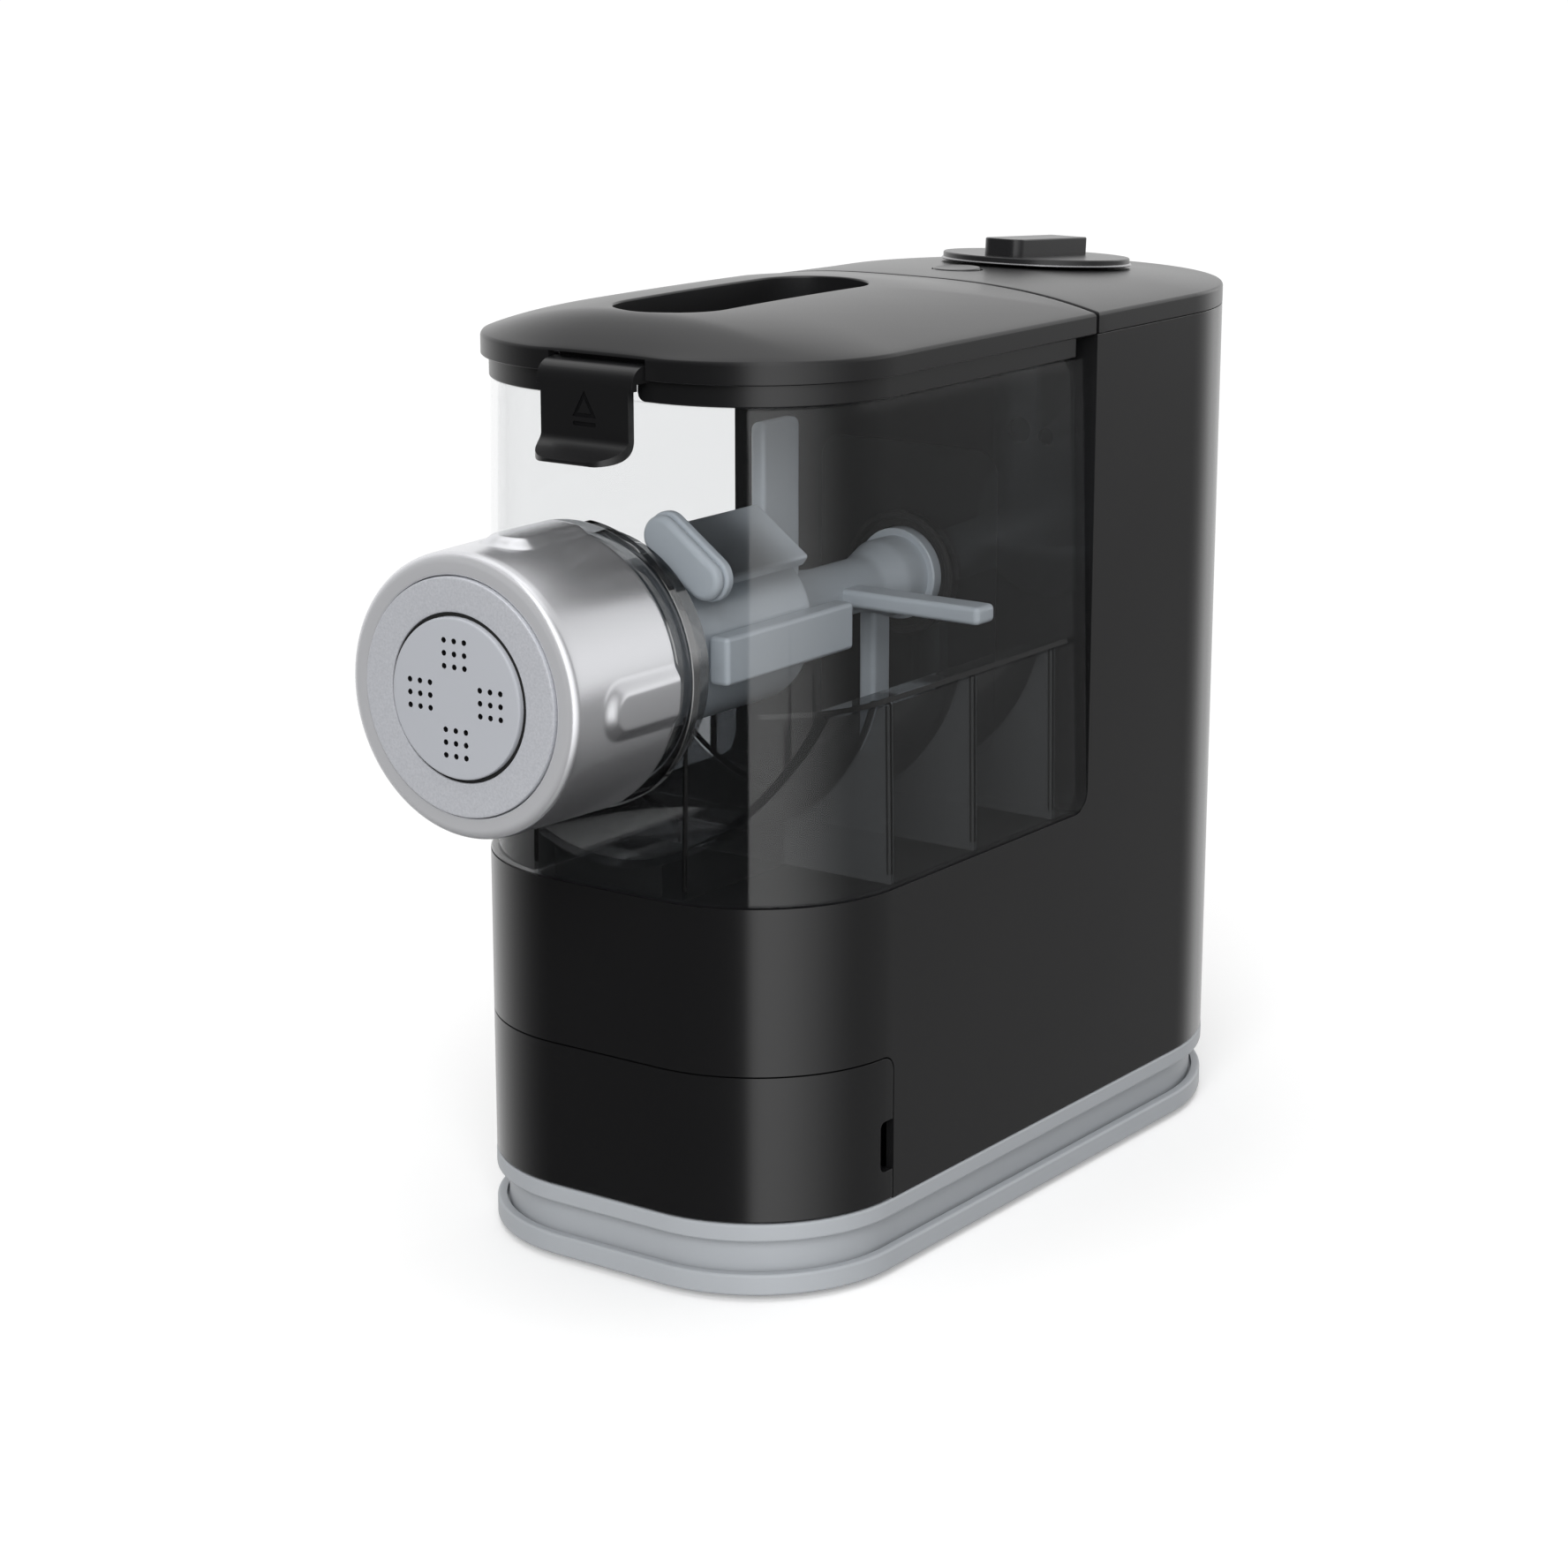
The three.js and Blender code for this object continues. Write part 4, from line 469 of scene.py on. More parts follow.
# %% Plinth
proud, groove_depth, plinth_wall, slit = -0.1 * MM, 3.6 * MM, 7 * MM, 0.9 * MM
flange_top = plinth_base + 6.5 * MM
groove_top = plinth_base + 16.5 * MM
plinth_top = plinth_high.z
edge = 0.9 * MM
profile = (rounding(proud, plinth_base + edge, edge, -90, 0) + rounding(proud, flange_top - edge, edge, 0, 90)
           + [(groove_depth - slit, flange_top), (groove_depth - slit, flange_top - 2 * slit),
              (groove_depth, flange_top - 2 * slit), (groove_depth, groove_top)]
           + rounding(proud, groove_top + edge, edge, -90, 0)
           + rounding(proud, plinth_top - edge, edge, 0, 90)
           + [(plinth_wall, plinth_top), (plinth_wall, plinth_base + 3 * MM),
              (plinth_wall + 3 * MM, plinth_base + 3 * MM), (plinth_wall + 3 * MM, plinth_base)])
plinth = stacked("plinth_frame", footprint, profile, material=plinth_grey, body="housing", joined=True,
                 stands_for=("base_plinth",), slot="plinth_grey")
print("plinth has", len(plinth.data.polygons), "faces")

# %% [markdown]
# The casing is cut rather than built: one block with the outline, minus its hollow, the bay for the
# mixing chamber and the bay for the drawer. The bays keep the round inner corners of the real mould.


# %% Casing
drawer_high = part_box("drawer_front")[1]
drawer_top = drawer_high.z
drawer_seam = drawer_high.y + 0.4 * MM
wall = 2.6 * MM
far = 10 * MM


def chamber_bay(grow):
    return rounded(front_y - far, seam_y + grow, deck_z - grow, rim_z + far, (0, 7 * MM + grow, 0, 0))


def drawer_bay(grow):
    return rounded(front_y - far, drawer_seam + grow, plinth_top - far, drawer_top + 0.4 * MM + grow,
                   (0, 0, 5 * MM + grow, 0))


across = half_width + far
shell_profile = rounding(0, plinth_top + 0.4 * MM, 0.4 * MM, -90, 0, 2) + rounding(0, rim_z - 0.25 * MM,
                                                                                0.25 * MM, 0, 90, 2)
casing = stacked("casing", footprint, shell_profile)
hollow = stacked("hollow", footprint, [(wall, plinth_top - far), (wall, rim_z + far)])
cut(hollow, prism("bay", chamber_bay(wall), "x", -across, across))
shaft_hole = lathe("hole", [(0, seam_y - far), (14 * MM, seam_y - far), (14 * MM, seam_y + far),
                            (0, seam_y + far)], steps=48)
wells = []
well_end = seam_y + 1.6 * MM
for x, z, radius in ((40.5, 234.6, 3.9), (50, 233.3, 2.6), (25.4, 215.9, 3.4)):
    well = [(0, seam_y - far), (radius * MM, seam_y - far), (radius * MM, well_end), (0, well_end)]
    wells.append(lathe("well", well, x * MM, z * MM, 32))
# The wells take the darker black: painted shade in their recesses.
for shape in (casing, *wells):
    shape.data.materials.append(black_shell)
    shape.data.materials.append(painted_shade_black)
    slots = [0 if shape == casing else 1] * len(shape.data.polygons)
    shape.data.polygons.foreach_set("material_index", slots)
cut(casing, prism("bay", chamber_bay(0), "x", -across, across), hollow,
    prism("bay", drawer_bay(0), "x", -across, across), shaft_hole, *wells)
# The deck under the chamber takes the darker black too: painted shade.
for face in casing.data.polygons:
    if face.normal.z > 0.9 and abs(face.center.z - deck_z) < MM:
        face.material_index = 1
soften(casing, 0.35 * MM)
dress(casing, black_shell, "housing", ("lower_housing", "drive_tower"), edges=(painted_shade_black,))
print("casing has", len(casing.data.polygons), "faces")

# %% [markdown]
# The drawer's front wraps round the nose of the body, so it is the same outline again, cut to the
# bay's shape with a hair gap. On each side a pocket takes a fingertip. The tray behind it is plain.

# %% Drawer
front_wall = 2.5 * MM
gap = 0.4 * MM
drawer = stacked("drawer_shell", footprint, rounding(0, plinth_top + 0.9 * MM, 0.6 * MM, -90, 0, 3)
                 + [(0, drawer_top + far)])
drawer_hollow = stacked("hollow", footprint, [(front_wall, plinth_top - far),
                                              (front_wall, drawer_top - front_wall)])
drawer_shape = prism("shape", rounded(front_y - far, drawer_seam - gap, plinth_top, drawer_top,
                                      (0, 0, 4.6 * MM, 0)), "x", -across, across)
notch_z = plinth_base + 31.4 * MM
bite, pocket_wall = 4 * MM, 2.5 * MM
cut(drawer, drawer_hollow)
for side in (-1, 1):
    inner, outer = side * (half_width - bite - pocket_wall), side * (half_width - 1 * MM)
    backing = prism("backing", rounded(min(inner, outer), max(inner, outer), drawer_seam - 8.9 * MM,
                                       drawer_seam + far, 0.0), "z", notch_z - pocket_wall, notch_z + 18 * MM)
    cut(drawer, backing, operation="UNION")
cut(drawer, drawer_shape, operation="INTERSECT")
for side in (-1, 1):
    inner, outer = side * (half_width - bite), side * across
    notch = prism("notch", rounded(drawer_seam - 6.4 * MM, drawer_seam + far, notch_z, notch_z + 15.5 * MM,
                                   (2.2 * MM, 0, 0, 2.2 * MM), 6), "x", min(inner, outer), max(inner, outer))
    cut(drawer, notch)
soften(drawer, 0.35 * MM)
dress(drawer, black_shell, "drawer", ("drawer_front",))
print("drawer front has", len(drawer.data.polygons), "faces")

# %% [markdown]
# The mixing chamber is one clear moulding: walls that lean in a little, a round trough under the hook, and
# ribs that carry the trough on the floor below. Real thickness matters here, because each skin of clear
# plastic takes a little light away and adds its own reflection. The trough, the ribs and the rounded edges
# are tinted darker than the walls: painted darkening where thick plastic turns the light away.


# %% Mixing chamber
chamber_foot = chamber_base
band_bottom = rim_z - 6.6 * MM
draft, clear = 2.6 * MM, 2.2 * MM
trough_radius = half_width - 8.5 * MM
ledge_z = axis_z - 12.24 * MM
chamber_rim = chamber_high.z
rim_inset = 4.8 * MM
back_gap = 0.6 * MM


def chamber_outline(inset=0.0):
    radius = corner_radius - inset
    cx, cy = half_width - corner_radius, front_y + corner_radius
    side, back_end = half_width - inset, seam_y - back_gap - inset
    return (arc(-cx, cy, radius, 180, 270, 24) + arc(cx, cy, radius, 270, 360, 24)
            + [Vector((side, back_end)), Vector((-side, back_end))])


def draft_at(z):
    return draft * (z - chamber_foot) / (band_bottom - chamber_foot)


def walls(name, wall_inset, heights):
    return stacked(name, chamber_outline, [(draft_at(z) + wall_inset, z) for z in heights])


vessel = stacked("vessel", chamber_outline, [(0, chamber_foot), (draft, band_bottom - 0.4 * MM),
                                             (draft + 0.4 * MM, band_bottom), (rim_inset, band_bottom),
                                             (rim_inset, chamber_rim - 0.3 * MM),
                                             (rim_inset + 0.3 * MM, chamber_rim)])
cut(vessel, prism("bay", rounded(front_y - far, seam_y - back_gap, deck_z + back_gap, rim_z + far,
                                 (0, 6.4 * MM, 0, 0)), "x", -across, across), operation="INTERSECT")
inner_top, shoulder_top = 255 * MM, 262 * MM
upper = stacked("upper", chamber_outline, [(draft_at(ledge_z) + clear, ledge_z),
                                           (draft_at(inner_top) + clear, inner_top),
                                           (rim_inset + clear, shoulder_top),
                                           (rim_inset + clear, rim_z + far)])
inside = walls("inside", clear, (chamber_foot, inner_top))
y0, y1 = front_y + clear + draft_at(ledge_z), seam_y - back_gap - clear - draft_at(ledge_z)
trough = lathe("trough", [(0, y0), (trough_radius, y0), (trough_radius, y1), (0, y1)])
cut(trough, inside, operation="INTERSECT")
below = walls("below", clear, (chamber_foot - 5 * MM, ledge_z - clear))
cut(below, lathe("bed", [(0, y0 - far), (trough_radius + clear, y0 - far), (trough_radius + clear, y1 + far),
                         (0, y1 + far)]))
rib_low, rib_high = chamber_foot - far, axis_z
rib_step = (seam_y - 16.6 * MM - front_y - 51.25 * MM) / 2
for k in range(3):
    y = front_y + 51.25 * MM + k * rib_step
    rib = [(-across, y - 0.8 * MM), (across, y - 0.8 * MM), (across, y + 0.8 * MM), (-across, y + 0.8 * MM)]
    cut(below, prism("rib", rib, "z", rib_low, rib_high))
for side in (-27 * MM, 27 * MM):
    y = front_y + 51.25 * MM
    rib = [(side - 0.8 * MM, front_y - far), (side + 0.8 * MM, front_y - far), (side + 0.8 * MM, y),
           (side - 0.8 * MM, y)]
    cut(below, prism("rib", rib, "z", rib_low, rib_high))
tube_radius = tube_bore = 25.2 * MM
front_hole = lathe("hole", [(0, front_y - far), (tube_bore, front_y - far), (tube_bore, front_y + far),
                            (0, front_y + far)])
back_hole = lathe("hole", [(0, seam_y - far), (19.5 * MM, seam_y - far), (19.5 * MM, seam_y + far),
                           (0, seam_y + far)])
cut(vessel, upper, trough, below, front_hole, back_hole)
clean(vessel.data)
# Trough and rib faces take the darker tints, and the bevelled edges take the dark line: painted darkening,
# not a different plastic.
for finish in (clear_wall, clear_line, clear_trough, clear_rib):
    vessel.data.materials.append(finish)
for face in vessel.data.polygons:
    x, y, z = face.center
    off_axis = math.hypot(x, z - axis_z)
    bed_face = min(abs(off_axis - trough_radius), abs(off_axis - trough_radius - clear)) < 0.4 * MM
    rib_face = max(abs(face.normal.x), abs(face.normal.y)) > 0.98 and front_y + 12 * MM < y < seam_y - 9 * MM
    rib_face = rib_face and abs(x) < half_width - draft - clear - 0.5 * MM
    plate = rib_face and abs(face.normal.y) > 0.98
    face.material_index = 0 if z > ledge_z + MM or not (bed_face or rib_face) else 3 if plate else 2
soften(vessel, 0.3 * MM, 50, 2, 1)
dress(vessel, clear_wall, "chamber", ("mixing_chamber",),
      edges=(clear_line, clear_trough, clear_rib))
print("vessel has", len(vessel.data.polygons), "faces")

# %% [markdown]
# Where a rib meets a wall, thick clear plastic turns the light away and looks dark. Those joints are
# what the eye sees of the trough: an upright at each rib, a line along the ledge, and the ribs' arcs.
# They are modelled as thin fillets of a dark clear plastic, just inside the skin.

# %% Dark joints of the trough
points, faces = [], []


def fillet(path, reach, high):
    """A thin bar of square section along a path of points, widened by reach along y and high along z."""
    start = len(points)
    lean = 0.5 * MM
    section = ((0, -reach, -high), (lean, reach, -high), (0, reach, high), (-lean, -reach, high))
    for x, y, z in path:
        points.extend(Vector((x + dx, y + dy, z + dz)) for dx, dy, dz in section)
    faces.extend(tuple(start + i for i in face) for face in ring_faces(len(path), 4))


inside_at = half_width - clear - 0.9 * MM
floor_z = chamber_foot + clear + MM
for k in range(3):
    y = front_y + 51.25 * MM + k * rib_step
    for side in (-1, 1):
        fillet([(side * (inside_at - draft_at(z)), y, z) for z in np.linspace(floor_z, ledge_z - clear, 6)],
               MM, 0.2 * MM)
    radius = trough_radius + clear * 0.5
    turns = np.linspace(-1.42, 1.42, 60)
    arc_line = [(radius * math.sin(t), y, max(axis_z - radius * math.cos(t), floor_z)) for t in turns]
    fillet([p for p in arc_line if p[2] < ledge_z - clear], 0.8 * MM, 0.5 * MM)
for side in (-1, 1):
    upright = front_y + clear + 0.9 * MM
    fillet([(side * 27 * MM, upright + draft_at(z), z) for z in np.linspace(floor_z, ledge_z - clear, 6)],
           0.5 * MM, 0.2 * MM)
ledge = chamber_outline(draft_at(ledge_z) + clear + 0.9 * MM)
for side in (-1, 1):
    run = [p for p in ledge if p.x * side > 46 * MM and p.y < seam_y - 9 * MM]
    run = sorted(run, key=lambda p: p.y) + [Vector((run[0 if side < 0 else -1].x, seam_y - 8 * MM))]
    fillet([(p.x, p.y, ledge_z - MM) for p in run], 0.5 * MM, 0.7 * MM)
piece("bed_joints", points, faces, clear_line, "chamber", slot="clear")

# %% [markdown]
# The neck is thick clear plastic, turned in steps: a collar that the nut stops against, and a groove
# before it. Turned pieces come from one outline, swung round the axis.

# %% Neck
neck_radius, neck_front = 36.6 * MM, front_y - 52 * MM
neck = lathe("neck_sleeve", [(tube_bore, neck_front), (neck_radius - 0.5 * MM, neck_front),
                             (neck_radius, neck_front + 0.5 * MM), (neck_radius, front_y - 14.6 * MM),
                             (38.2 * MM, front_y - 13.4 * MM), (38.2 * MM, front_y - 11.4 * MM),
                             (40.4 * MM, front_y - 11 * MM), (41 * MM, front_y - 10.4 * MM),
                             (41 * MM, front_y - 7.6 * MM), (40.4 * MM, front_y - 7 * MM),
                             (37.4 * MM, front_y - 6.6 * MM), (neck_radius, front_y - 5.6 * MM),
                             (neck_radius + 0.4 * MM, front_y + 1.8 * MM), (tube_bore, front_y + 1.8 * MM)])
cut(neck, stacked("vessel_block", chamber_outline, [(0, chamber_foot), (draft, band_bottom)]))
dress(neck, clear_edge, "chamber", ("nozzle_neck",))

# %% [markdown]
# The top of the machine is softly crowned. Its height at any place is a formula of how near the
# outline the place lies, so lid and cover meet at the same height along their curved seam.


# %% Crown
crown_rise, back_rise, peak_setback, crown_power = 8.5 * MM, 0.4 * MM, 64.9 * MM, 2.8
seam_bow, seam_gap, front_fall = 4 * MM, 0.8 * MM, 20 * MM


def crown_fade(x, y):
    nose = max(0.0, front_y + corner_radius - y)
    half_here = half_width - corner_radius + math.sqrt(max(0.0, corner_radius ** 2 - nose ** 2))
    side = math.hypot(x, y - back_centre_y) / half_width if y > back_centre_y else abs(x) / half_here
    front = max(0.0, 1 - (y - front_y) / front_fall)
    return (1 - min(1.0, side) ** crown_power) * (1 - min(1.0, front) ** 2)


def crown(x, y):
    along = (y - front_y - peak_setback) / (back_y - front_y - peak_setback)
    rise = crown_rise - (crown_rise - back_rise) * along ** 2
    return crease_z + rise * crown_fade(x, y)


def seam_at(x):
    return seam_y - seam_bow * (1 - (x / half_width) ** 2)


# %% [markdown]
# The lid is a single ring of skin: up the rim, in over the crown, up a slight swell to the mouth of
# the well, down the well's wall and back outwards below. Every ring holds the same points, from the
# front and round to the front again, so the well and the outer edge need no boolean.


# %% Lid
def polyline(points, count):
    """Evenly spaced points along an open line."""
    points = [Vector(p) for p in points]
    steps = [0.0]
    for a, b in zip(points, points[1:]):
        steps.append(steps[-1] + (b - a).length)
    made, k = [], 0
    for i in range(count + 1):
        goal = steps[-1] * i / count
        while k < len(points) - 2 and steps[k + 1] < goal:
            k += 1
        made.append(points[k].lerp(points[k + 1], (goal - steps[k]) / max(steps[k + 1] - steps[k], 1e-9)))
    return made


def mirrored(half):
    return half + [Vector((-p.x, p.y)) for p in reversed(half[1:-1])]


def lid_edge(inset=0.0, gap=seam_gap):
    cx, cy = half_width - corner_radius, front_y + corner_radius
    side = half_width - inset
    corner = arc(cx, cy, corner_radius - inset, 270, 360, 32)
    back_end = seam_at(side) - gap - inset
    seam_half = [Vector((x, seam_at(x) - gap - inset)) for x in np.linspace(side, 0, 21)]
    return mirrored(polyline([(0, front_y + inset), corner[0]], 6)[:-1] + corner
                    + polyline([corner[-1], (side, back_end)], 26)[1:] + seam_half[1:])


slot_half, slot_front = 17.8 * MM, front_y + 18.5 * MM
slot_back = slot_front + 100.6 * MM


def slot_edge(grow=0.0):
    radius = slot_half + grow
    line = (arc(0, slot_front + slot_half, radius, 270, 360, 60)
            + arc(0, slot_back - slot_half, radius, 0, 90, 60))
    return mirrored(polyline(line, 84))


def on_crown(outline, drop=0.0):
    return [Vector((p[0], p[1], crown(p[0], p[1]) + drop)) for p in outline]


def between(outer, inner, share):
    return [Vector((a[0], a[1])).lerp(Vector((b[0], b[1])), share) for a, b in zip(outer, inner)]


def rim_rings(edge_at, bottom, round_top=0.8 * MM, round_bottom=0.3 * MM):
    rings = [level(edge_at(round_bottom), bottom), level(edge_at(0.0), bottom + round_bottom)]
    for turn in np.linspace(0, 80, 6):
        t = math.radians(turn)
        inset = round_top * (1 - math.cos(t))
        outline = edge_at(inset)
        rings.append([Vector((x, y, crown(x, y) - round_top * (1 - math.sin(t)) - 0.0002 * math.cos(t)))
                      for x, y in outline])
    return rings


well_wall, lid_wall = 2 * MM, 2.5 * MM
well_floor = rim_z + 2.6 * MM
rings = rim_rings(lid_edge, rim_z)
swell = 1.6 * MM
skin, mouth = lid_edge(0.8 * MM), slot_edge(0.7 * MM)
for share in np.linspace(0, 1, 29)[1:]:
    rings.append(on_crown(between(skin, mouth, share), swell * share * share * (3 - 2 * share)))
for grow, fall in ((0.45, 0.05), (0.25, 0.17), (0.1, 0.35), (0.0, 0.65)):
    rings.append(on_crown(slot_edge(grow * MM), swell - fall * MM))
rings.append(level(slot_edge(0), well_floor))
rings.append(level(slot_edge(0), well_floor - 2 * MM))
rings.append(level(slot_edge(well_wall), well_floor - 2 * MM))
rings.append(on_crown(slot_edge(well_wall), -lid_wall))
under = lid_edge(lid_wall)
for share in np.linspace(0, 1, 7)[1:]:
    rings.append(on_crown(between(slot_edge(well_wall), under, share), -lid_wall))
rings.append(level(under, rim_z))
lid = loft("lid_shell", rings, joined=True)

# %% [markdown]
# The well's floor is slit, so that liquid falls in lines over the flour. Bars with gaps between
# them make it. At the front edge the lid gives way to the knuckle of its latch.

# %% Floor of the well, and the latch's place
pin_y, pin_z = front_y + 2.4 * MM, rim_z + 1.8 * MM
latch_half, latch_room = 15.5 * MM, 1.5 * MM
room = 4 * MM
room_half = latch_half + latch_room
notch = prism("room", rounded(-room_half, room_half, front_y - far, pin_y + room, 0.0), "z",
              rim_z - far, pin_z + room)
cut(lid, notch)
soften(lid, 0.25 * MM, 60)
guard_low, guard_high = rim_z + 0.2 * MM, rim_z + 8 * MM
guard = [(-room_half - MM, guard_low), (room_half + MM, guard_low), (room_half + MM, guard_high),
         (-room_half - MM, guard_high)]
cut(lid, prism("guard", guard, "y", pin_y + room, pin_y + room + 1.2 * MM), operation="UNION")
dress(lid, black_lid, "lid", ("lid_left", "lid_middle", "lid_right"))
bars = []
first = slot_front + 5 * MM
for k in range(12):
    low, high = first + k * 8 * MM - 6.5 * MM, first + k * 8 * MM - 1.5 * MM
    middle = (low + high) / 2
    to_end = min(middle - slot_front, slot_back - middle)
    reach = slot_half if to_end > slot_half else math.sqrt(max(to_end * (2 * slot_half - to_end), 1e-8))
    bars.append(rounded(-reach, reach, max(low, slot_front), min(high, slot_back), 0.5 * MM, 3))
points, faces = [], []
for bar in bars:
    start, around = len(points), len(bar)
    points += level(bar, well_floor - 2 * MM) + level(bar, well_floor)
    faces += [tuple(start + i for i in face) for face in ring_faces(2, around)]
piece("well_floor", points, faces, black_lid, "lid", slot="body_black")
print("lid has", len(lid.data.polygons), "faces")

# %% [markdown]
# The tower's cover is the other half of the same crown. Rings run from its rim to its middle. The
# start button and the stem of the selector pass through it.


# %% Top cover
def cover_edge(inset=0.0, gap=seam_gap):
    side = half_width - inset
    front_half = [Vector((x, seam_at(x) + gap + inset)) for x in np.linspace(0, side, 21)]
    return mirrored(front_half + polyline([front_half[-1], (side, back_centre_y)], 12)[1:]
                    + arc(0, back_centre_y, side, 0, 90, 44)[1:])


def turned(name, profile, x=0.0, y=0.0, steps=96, **more):
    rings = []
    for k in range(steps):
        turn = 2 * math.pi * k / steps
        rings.append([Vector((x + r * math.cos(turn), y + r * math.sin(turn), z)) for r, z in profile])
    return loft(name, rings, joined=True, **more)


def crowned(name, edge_at, bottom, drop=0.0):
    rings = [level(edge_at(0), bottom), on_crown(edge_at(0), -drop)] if drop else rim_rings(edge_at, bottom)
    skin = edge_at(0.8 * MM if not drop else 0.0)
    centre = [Vector((0, (seam_y + back_y) / 2))] * len(skin)
    for share in np.linspace(0, 1, 22)[1:-1]:
        rings.append(on_crown(between(skin, centre, share), -drop))
    rings.append(on_crown(between(skin, centre, 0.985), -drop))
    return loft(name, rings)


knob_y, button_y = seam_y + 73.7 * MM, seam_y + 26.6 * MM
button_radius = 7.6 * MM
cover = crowned("cover_shell", cover_edge, rim_z)
inner = crowned("inner", lambda inset: cover_edge(2.5 * MM), rim_z - far, 2.5 * MM)
hole_radius = button_radius + 0.5 * MM
hole = turned("hole", [(0, rim_z), (hole_radius, rim_z), (hole_radius, crease_z + far * 2),
                       (0, crease_z + far * 2)], 0, button_y, 64)
cut(cover, inner, hole)
soften(cover, 0.25 * MM, 60)
dress(cover, black_lid, "housing", ("top_cover",))

# %% [markdown]
# The start button is a small dished cap. The selector is a thin disc with a bar to grip, and a
# bright rim that catches the light. The disc lies square to the crown, so it tilts back a little.


# %% Slabs with rounded edges
def offset(outline, inset):
    """An outline moved inwards by a small inset."""
    made, count = [], len(outline)
    for i, p in enumerate(outline):
        before, after = Vector(outline[i - 1][:2]), Vector(outline[(i + 1) % count][:2])
        p = Vector(p[:2])
        a, b = (p - before).normalized(), (after - p).normalized()
        if (p - before).length < 1e-7 or (after - p).length < 1e-7:
            a = b = (after - before).normalized()
        normal = Vector((-a.y - b.y, a.x + b.x))
        scale = max(normal.length_squared / 2, 0.3)
        made.append(p + normal * (inset / scale))
    return made


def slab(name, outline, low, high, radius, place=None, **more):
    steps = np.linspace(0, 90, 5)
    profile = [(radius * (1 - math.sin(math.radians(t))), low + radius * (1 - math.cos(math.radians(t))))
               for t in steps]
    profile += [(radius * (1 - math.cos(math.radians(t))), high - radius * (1 - math.sin(math.radians(t))))
                for t in steps]
    rings = [level(offset(outline, inset), z) for inset, z in profile]
    if place is not None:
        rings = [[place @ p for p in ring] for ring in rings]
    return loft(name, rings, **more)


# %% Start button
button_top = crown(0, button_y) + 0.6 * MM
cap_roof, cap_foot = button_top - 1.7 * MM, button_top - 3 * MM
cap = [(0, cap_roof), (button_radius - MM, cap_roof), (button_radius - MM, cap_foot)]
cap += [(button_radius, cap_foot), (button_radius, button_top - 0.7 * MM)]
cap += [(button_radius - 0.7 * MM + 0.7 * MM * math.cos(t), button_top - 0.7 * MM + 0.7 * MM * math.sin(t))
        for t in np.linspace(0.2, math.pi / 2, 6)]
cap += [(button_radius * share, button_top - 0.5 * MM * (1 - share ** 2)) for share in (0.8, 0.6, 0.4, 0.2)]
cap += [(0, button_top - 0.5 * MM)]
turned("button_cap", cap, 0, button_y, 96, material=black_control, body="button",
       stands_for=("start_button",), slot="control_black")

# %% Selector knob
knob_z = crown(0, knob_y)
slope = (crown(0, knob_y - MM) - crown(0, knob_y + MM)) / (2 * MM)
knob_place = Matrix.Translation((0, knob_y, knob_z)) @ Matrix.Rotation(-math.atan(slope), 4, "X")
ring_inner, ring_outer = 30.2 * MM, 30.8 * MM
disc = turned("knob_disc", [(0, 0.4 * MM), (ring_inner, 0.4 * MM), (ring_inner, 2.5 * MM),
                            (ring_inner - 0.3 * MM, 2.8 * MM), (0, 2.8 * MM)], steps=160)
bar_outline = rounded(-7 * MM, 7 * MM, -23 * MM, 20 * MM, (4 * MM, 4 * MM, 0.9 * MM, 0.9 * MM), 14)
bar = slab("knob_bar", bar_outline, 1 * MM, 8.3 * MM, 0.5 * MM)
stem = turned("stem", [(0, -13 * MM), (5 * MM, -13 * MM), (5 * MM, 1.6 * MM), (0, 1.6 * MM)], steps=48)
cut(disc, bar, stem, operation="UNION")
disc.data.transform(knob_place)
dress(disc, black_control, "knob", ("selector_knob",))
ring = turned("knob_rim", [(ring_inner, 0.4 * MM), (ring_outer - 0.3 * MM, 0.4 * MM), (ring_outer, 0.7 * MM),
                           (ring_outer - 0.1 * MM, 0.9 * MM), (ring_inner, 1.2 * MM)], steps=160)
ring.data.transform(knob_place)
dress(ring, bright_trim, "knob", ("knob_trim_ring",))

# %% [markdown]
# A black band closes round the rim of the chamber below the lid. It leaves the latch its room with
# two rounded ends. Each half is a small profile swept along the outline, so it is an open loft.


# %% Bands
band_inset, band_wall = 2.3 * MM, 2.2 * MM
band_low, band_back, band_start = band_bottom + 0.3 * MM, seam_y - 8.7 * MM, 12.6 * MM


def band(name, side, stands_for):
    cx, cy = half_width - corner_radius, front_y + corner_radius

    def path(inset):
        corner = arc(cx, cy, corner_radius - inset, 270, 360, 30)
        start = polyline([(band_start, front_y + inset), corner[0]], 24)
        end = polyline([corner[-1], (half_width - inset, band_back)], 14)
        return start[:-1] + corner + end[1:]

    section = rounding(band_inset, band_low + 0.5 * MM, 0.5 * MM, -90, 0) + [
        (band_inset, rim_z), (band_inset + band_wall, rim_z), (band_inset + band_wall, band_low)]
    lines = [path(inset) for inset, z in section]
    points = []
    for i in range(len(lines[0])):
        in_front = lines[0][i].y < front_y + 4 * MM
        near = max(0.0, 1 - (lines[0][i].x - band_start) / (2.4 * MM)) if in_front else 0.0
        lift = 2.4 * MM * (1 - math.sqrt(max(0.0, 1 - min(near, 1) ** 2)))
        sunk = MM if in_front and lines[0][i].x < latch_half + 0.5 * MM else 0.0
        for line, (inset, z) in zip(lines, section):
            share = (rim_z - z) / (rim_z - band_low)
            points.append((side * line[i].x, line[i].y, z + lift * share - sunk * (1 - share)))
    return piece(name, points, ring_faces(len(lines[0]), len(section)), black_lid, "lid", (stands_for,),
                 "body_black")


band("band_left", -1, "lid_band_left")
band("band_right", 1, "lid_band_right")

